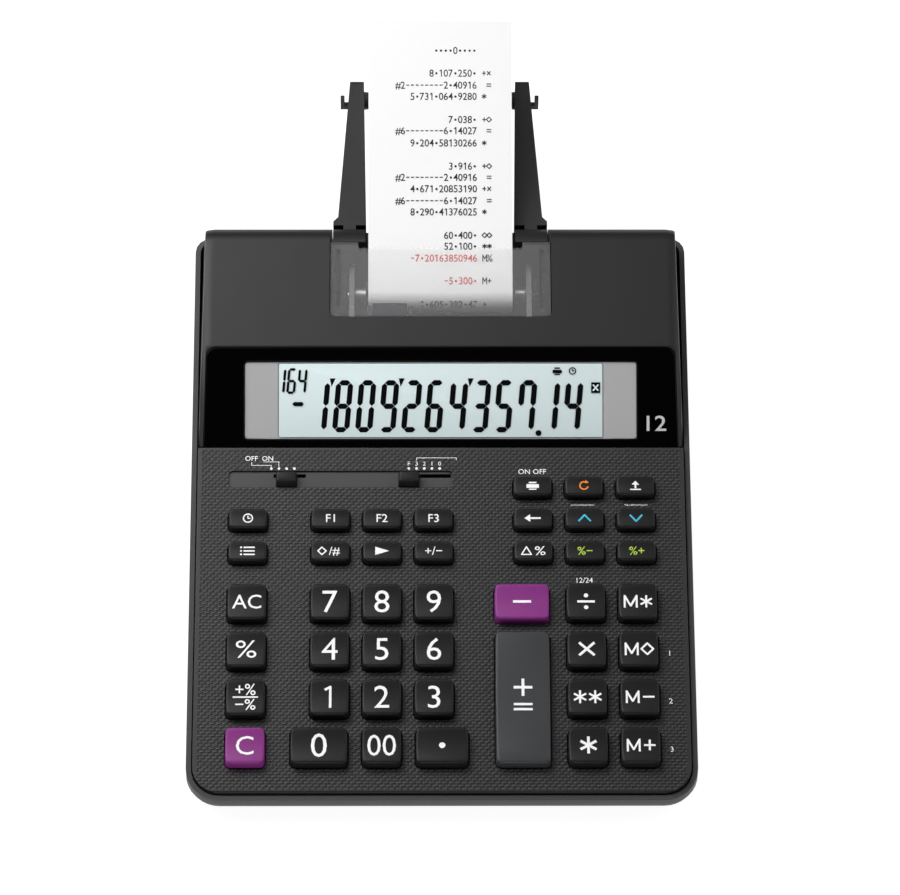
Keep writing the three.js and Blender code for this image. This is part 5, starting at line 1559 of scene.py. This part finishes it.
    def _mark(self, sketch: Sketch, mark: str, x: float, s: float, ink: int) -> None:
        """Draws one printed character.

        Args:
            sketch: where it is drawn.
            mark: the character.
            x: its middle across.
            s: its middle along the strip.
            ink: slot number of its ink.
        """
        if mark == ".":
            sketch.disc(x, s - 0.1, 0.5, ink, 8)
        elif mark == "∗":
            sketch.star(x, s, 2.0, 0.42)
        elif mark == "◇":
            sketch.diamond(x, s, 2.0, 0.4)
        elif mark in self.strokes:
            pen, *lines = self.strokes[mark]
            for line in lines:
                sketch.line([(x + dx, s + ds) for dx, ds in line], pen, ink)
        else:
            sketch.text(mark, self.line_height, x, s, ink, widen=0.9, bold=0.034)

    def _print(self) -> None:
        """Lays the printed rows on the paper, character by character on a fixed pitch."""
        sketch = Sketch()
        for s, row, sign, ink in self.rows:
            for i, mark in enumerate(reversed(row)):
                self._mark(sketch, mark, self.right - self.pitch * i, s, ink)
            for i, mark in enumerate(sign):
                self._mark(sketch, mark, self.right + self.pitch * (i + 2), s, 0)
        sketch.face_up()
        for vert in sketch.mesh.verts:
            x, s, height = vert.co
            (y, z), angle = self.at(s)
            lift = self.thickness / 2 + LIFT + height * self.layer_share
            vert.co = (x, y - lift * math.sin(angle), z + lift * math.cos(angle) + self.sag(x, s))
        Piece("paper_print", "case", "paper", [Palette.INKED, Palette.RED_INK]).make(sketch.mesh)


@dataclass
class PaperGear:
    """Tear window, bracket and arms, each with its body, slot, finish, CAD node and rounding."""

    pieces: tuple = (
        ("smoked_window", "tear_window", "smoke", Palette.SMOKE, "tear_window", 0.3),
        ("bracket_shell", "case", "case", Palette.CASE, "roll_bracket", 0.35),
        ("roll_arm_left_strap", "roll_arm_left", "rim", Palette.ARM, "roll_arm_left", 0.4),
        ("roll_arm_right_strap", "roll_arm_right", "rim", Palette.ARM, "roll_arm_right", 0.4),
    )

    def build(self) -> None:
        """Softens the moulded pieces round the paper."""
        for name, body, slot, finish, node, width in self.pieces:
            Piece(name, body, slot, [finish]).softened(node, width)


@dataclass
class Printer:
    """Frame, carriage, platen and ink roller under the window, and the board under the keys."""

    carriage: tuple = (-29.5, -10.5)
    carriage_foot: float = 32.2
    carriage_rear: float = 204.0
    rail: tuple = (197.64, 37.31)
    rail_radius: float = 2.5
    rail_half: float = 33.9
    rubber_half: float = 29.6
    gear_side: float = 36.5
    chip_top: float = -7.8

    def build(self) -> None:
        """Makes the printer's pieces and the board."""
        chassis = Piece("printer_chassis", "case", "steel", [Palette.CHASSIS, Palette.NYLON, Palette.STEEL])
        chassis.softened("printer_frame", 0.2, self._frame_slot)
        platen = Piece("platen", "platen_roller", "rubber", [Palette.RUBBER, Palette.STEEL, Palette.NYLON])
        platen.softened("platen_roller", 0.15, self._platen_slot)
        Piece("ink_roller_felt", "ink_roller", "ink", [Palette.INK_FELT]).softened("ink_roller", 0.2)
        board = Piece("circuit_board_sheet", "case", "board", [Palette.BOARD, Palette.NYLON])
        board.softened("circuit_board", 0.1, self._board_slot)

    def _frame_slot(self, middle: Vector, normal: Vector) -> int:
        """The carriage is black nylon, its rail plated steel, the chassis grey.

        Args:
            middle: a face's middle.
            normal: its normal, not used.

        Returns:
            The slot's number.
        """
        left, right = self.carriage
        if left < middle.x < right and middle.z > self.carriage_foot and middle.y < self.carriage_rear:
            return 1
        off = math.hypot(middle.y - self.rail[0], middle.z - self.rail[1])
        return 2 if off < self.rail_radius and abs(middle.x) < self.rail_half else 0

    def _platen_slot(self, middle: Vector, normal: Vector) -> int:
        """Rubber between the frame's sides, a steel shaft, a nylon gear."""
        shaft = int(abs(middle.x) >= self.rubber_half)
        return 2 if middle.x > self.gear_side else shaft

    def _board_slot(self, middle: Vector, normal: Vector) -> int:
        """The chips are black."""
        return 1 if (PANEL.matrix().inverted() @ middle).z > self.chip_top else 0


@dataclass
class Underside:
    """Battery cover and adaptor socket."""

    socket: tuple = (70.45, BODY_DEPTH - 3.05, 18.0)
    pin: tuple = ((-0.2, 0.0), (-0.2, 0.85), (-2.7, 0.95), (-2.9, 0.75), (-2.9, 0.0))
    ring: tuple = ((-0.25, 2.2), (-0.25, 3.05), (-3.1, 3.05), (-3.1, 2.8), (-0.4, 2.2), (-0.25, 2.2))

    def build(self) -> None:
        """Makes the pieces under and behind the case."""
        Piece("battery_door", "battery_cover", "rim", [Palette.RIM]).softened("battery_cover", 0.25)
        ring = Shape().turned(self.ring, 24, AXIS_Z).material(1)
        shape = Shape().turned(self.pin, 16, AXIS_Z).add(ring.mesh)
        shape.moved(Matrix.Translation(self.socket) @ Matrix.Rotation(math.radians(90), 4, "X"))
        Piece("adaptor_socket", "case", "steel", [Palette.STEEL, Palette.NYLON]).make(shape.outward().mesh)


@dataclass
class Studio:
    """Camera, floor, light and the pale surroundings.

    Each light has its name, its place and target in metres, its side in metres and its power in watts.
    """

    place: tuple = (-13.77, -991.73, 1748.2)
    yaw: float = 0.873
    elevation: float = 56.41
    roll: float = -0.701
    focal: float = 5260.3
    image_width: int = 900
    dark_side: tuple = (0.0, -0.55, 0.835)
    dark_from: float = 0.42
    dark_to: float = 0.93
    dark: tuple = (0.01, 0.01, 0.01)
    rear_from: float = 0.45
    rear_to: float = 0.85
    rear_light: float = 0.12
    sky: float = 0.62
    floor_glow: float = 0.93
    floor_half: float = 6.0
    lights: tuple = (
        ("left_softbox", (-0.75, 0.3, 0.9), (0, 0.02, 0.03), 0.75, 9.9),
        ("right_softbox", (1.5, 0.1, 1.35), (0, 0.02, 0.03), 1.2, 9),
        ("top_softbox", (-0.24, 0.33, 0.7), (0, 0.05, 0.05), 0.45, 2.3),
        ("front_softbox", (-0.25, -1.5, 0.28), (0, 0, 0.03), 0.5, 4.4),
    )

    def build(self) -> None:
        """Sets up the studio."""
        self._camera()
        self._floor()
        self._lights()
        self._world()
        bpy.context.scene.view_settings.view_transform = "Standard"

    def _world(self) -> None:
        """Pale surroundings, darker where the glossy plate looks and low behind the machine."""
        world = bpy.data.worlds.new("studio")
        world.use_nodes = True
        tree = Shader(world.node_tree, "Generated")
        facing = tree.node("ShaderNodeVectorMath", operation="DOT_PRODUCT", Vector=tree.place)
        facing.inputs[1].default_value = self.dark_side
        dark = tree.blend(facing.outputs["Value"], (1, 1, 1), self.dark)
        ends = dark.node.color_ramp.elements
        ends[0].position, ends[1].position = self.dark_from, self.dark_to
        parts = tree.node("ShaderNodeSeparateXYZ", Vector=tree.place)
        rear = tree.node("ShaderNodeMapRange", Value=parts.outputs["Y"], From_Min=self.rear_from,
                         From_Max=self.rear_to, To_Min=self.sky, To_Max=self.rear_light * self.sky)
        background = world.node_tree.nodes["Background"]
        tree.feed(background.inputs["Color"], dark)
        tree.feed(background.inputs["Strength"], rear.outputs["Result"])
        bpy.context.scene.world = world

    def _camera(self) -> None:
        """The camera, at the photograph's angle."""
        yaw, pitch, roll = (math.radians(v) for v in (self.yaw, self.elevation, self.roll))
        data = bpy.data.cameras.new("camera")
        data.sensor_width = 36
        data.lens = self.focal / self.image_width * data.sensor_width
        data.clip_start, data.clip_end = 0.05, 50
        ahead = Vector((math.sin(yaw) * math.cos(pitch), math.cos(yaw) * math.cos(pitch), -math.sin(pitch)))
        right = Vector((math.cos(yaw), -math.sin(yaw), 0))
        up = right.cross(ahead)
        across = right * math.cos(roll) - up * math.sin(roll)
        upright = right * math.sin(roll) + up * math.cos(roll)
        camera = bpy.data.objects.new("camera", data)
        turn = Matrix((across, upright, -ahead)).transposed().to_4x4()
        camera.matrix_world = Matrix.Translation(TO_ROW @ Vector(self.place)) @ turn
        bpy.context.scene.collection.objects.link(camera)
        bpy.context.scene.camera = camera

    def _floor(self) -> None:
        """A plain pale floor."""
        mesh = bmesh.new()
        bmesh.ops.create_grid(mesh, x_segments=1, y_segments=1, size=self.floor_half)
        data = bpy.data.meshes.new("floor")
        mesh.to_mesh(data)
        mesh.free()
        finish = Palette.FLOOR.material()
        shader = next(n for n in finish.node_tree.nodes if n.type == "BSDF_PRINCIPLED")
        shader.inputs["Emission Color"].default_value = (1, 1, 1, 1)
        shader.inputs["Emission Strength"].default_value = self.floor_glow
        data.materials.append(finish)
        floor = bpy.data.objects.new("floor", data)
        bpy.context.scene.collection.objects.link(floor)

    def _lights(self) -> None:
        """The soft area lights."""
        for name, place, target, size, power in self.lights:
            data = bpy.data.lights.new(name, "AREA")
            data.size = size
            data.energy = power
            light = bpy.data.objects.new(name, data)
            aim = Vector(target) - Vector(place)
            light.matrix_world = Matrix.Translation(place) @ aim.to_track_quat("-Z", "Y").to_matrix().to_4x4()
            bpy.context.scene.collection.objects.link(light)


def main() -> None:
    logging.basicConfig(level=logging.INFO, format="%(name)s %(message)s")
    for part in (Studio(), Casework(), Keyboard(), Switches(), DisplayModule(), PaperRoll(), PaperStrip(),
                 PaperGear(), Printer(), Underside()):
        part.build()


if __name__ == "__main__":
    main()
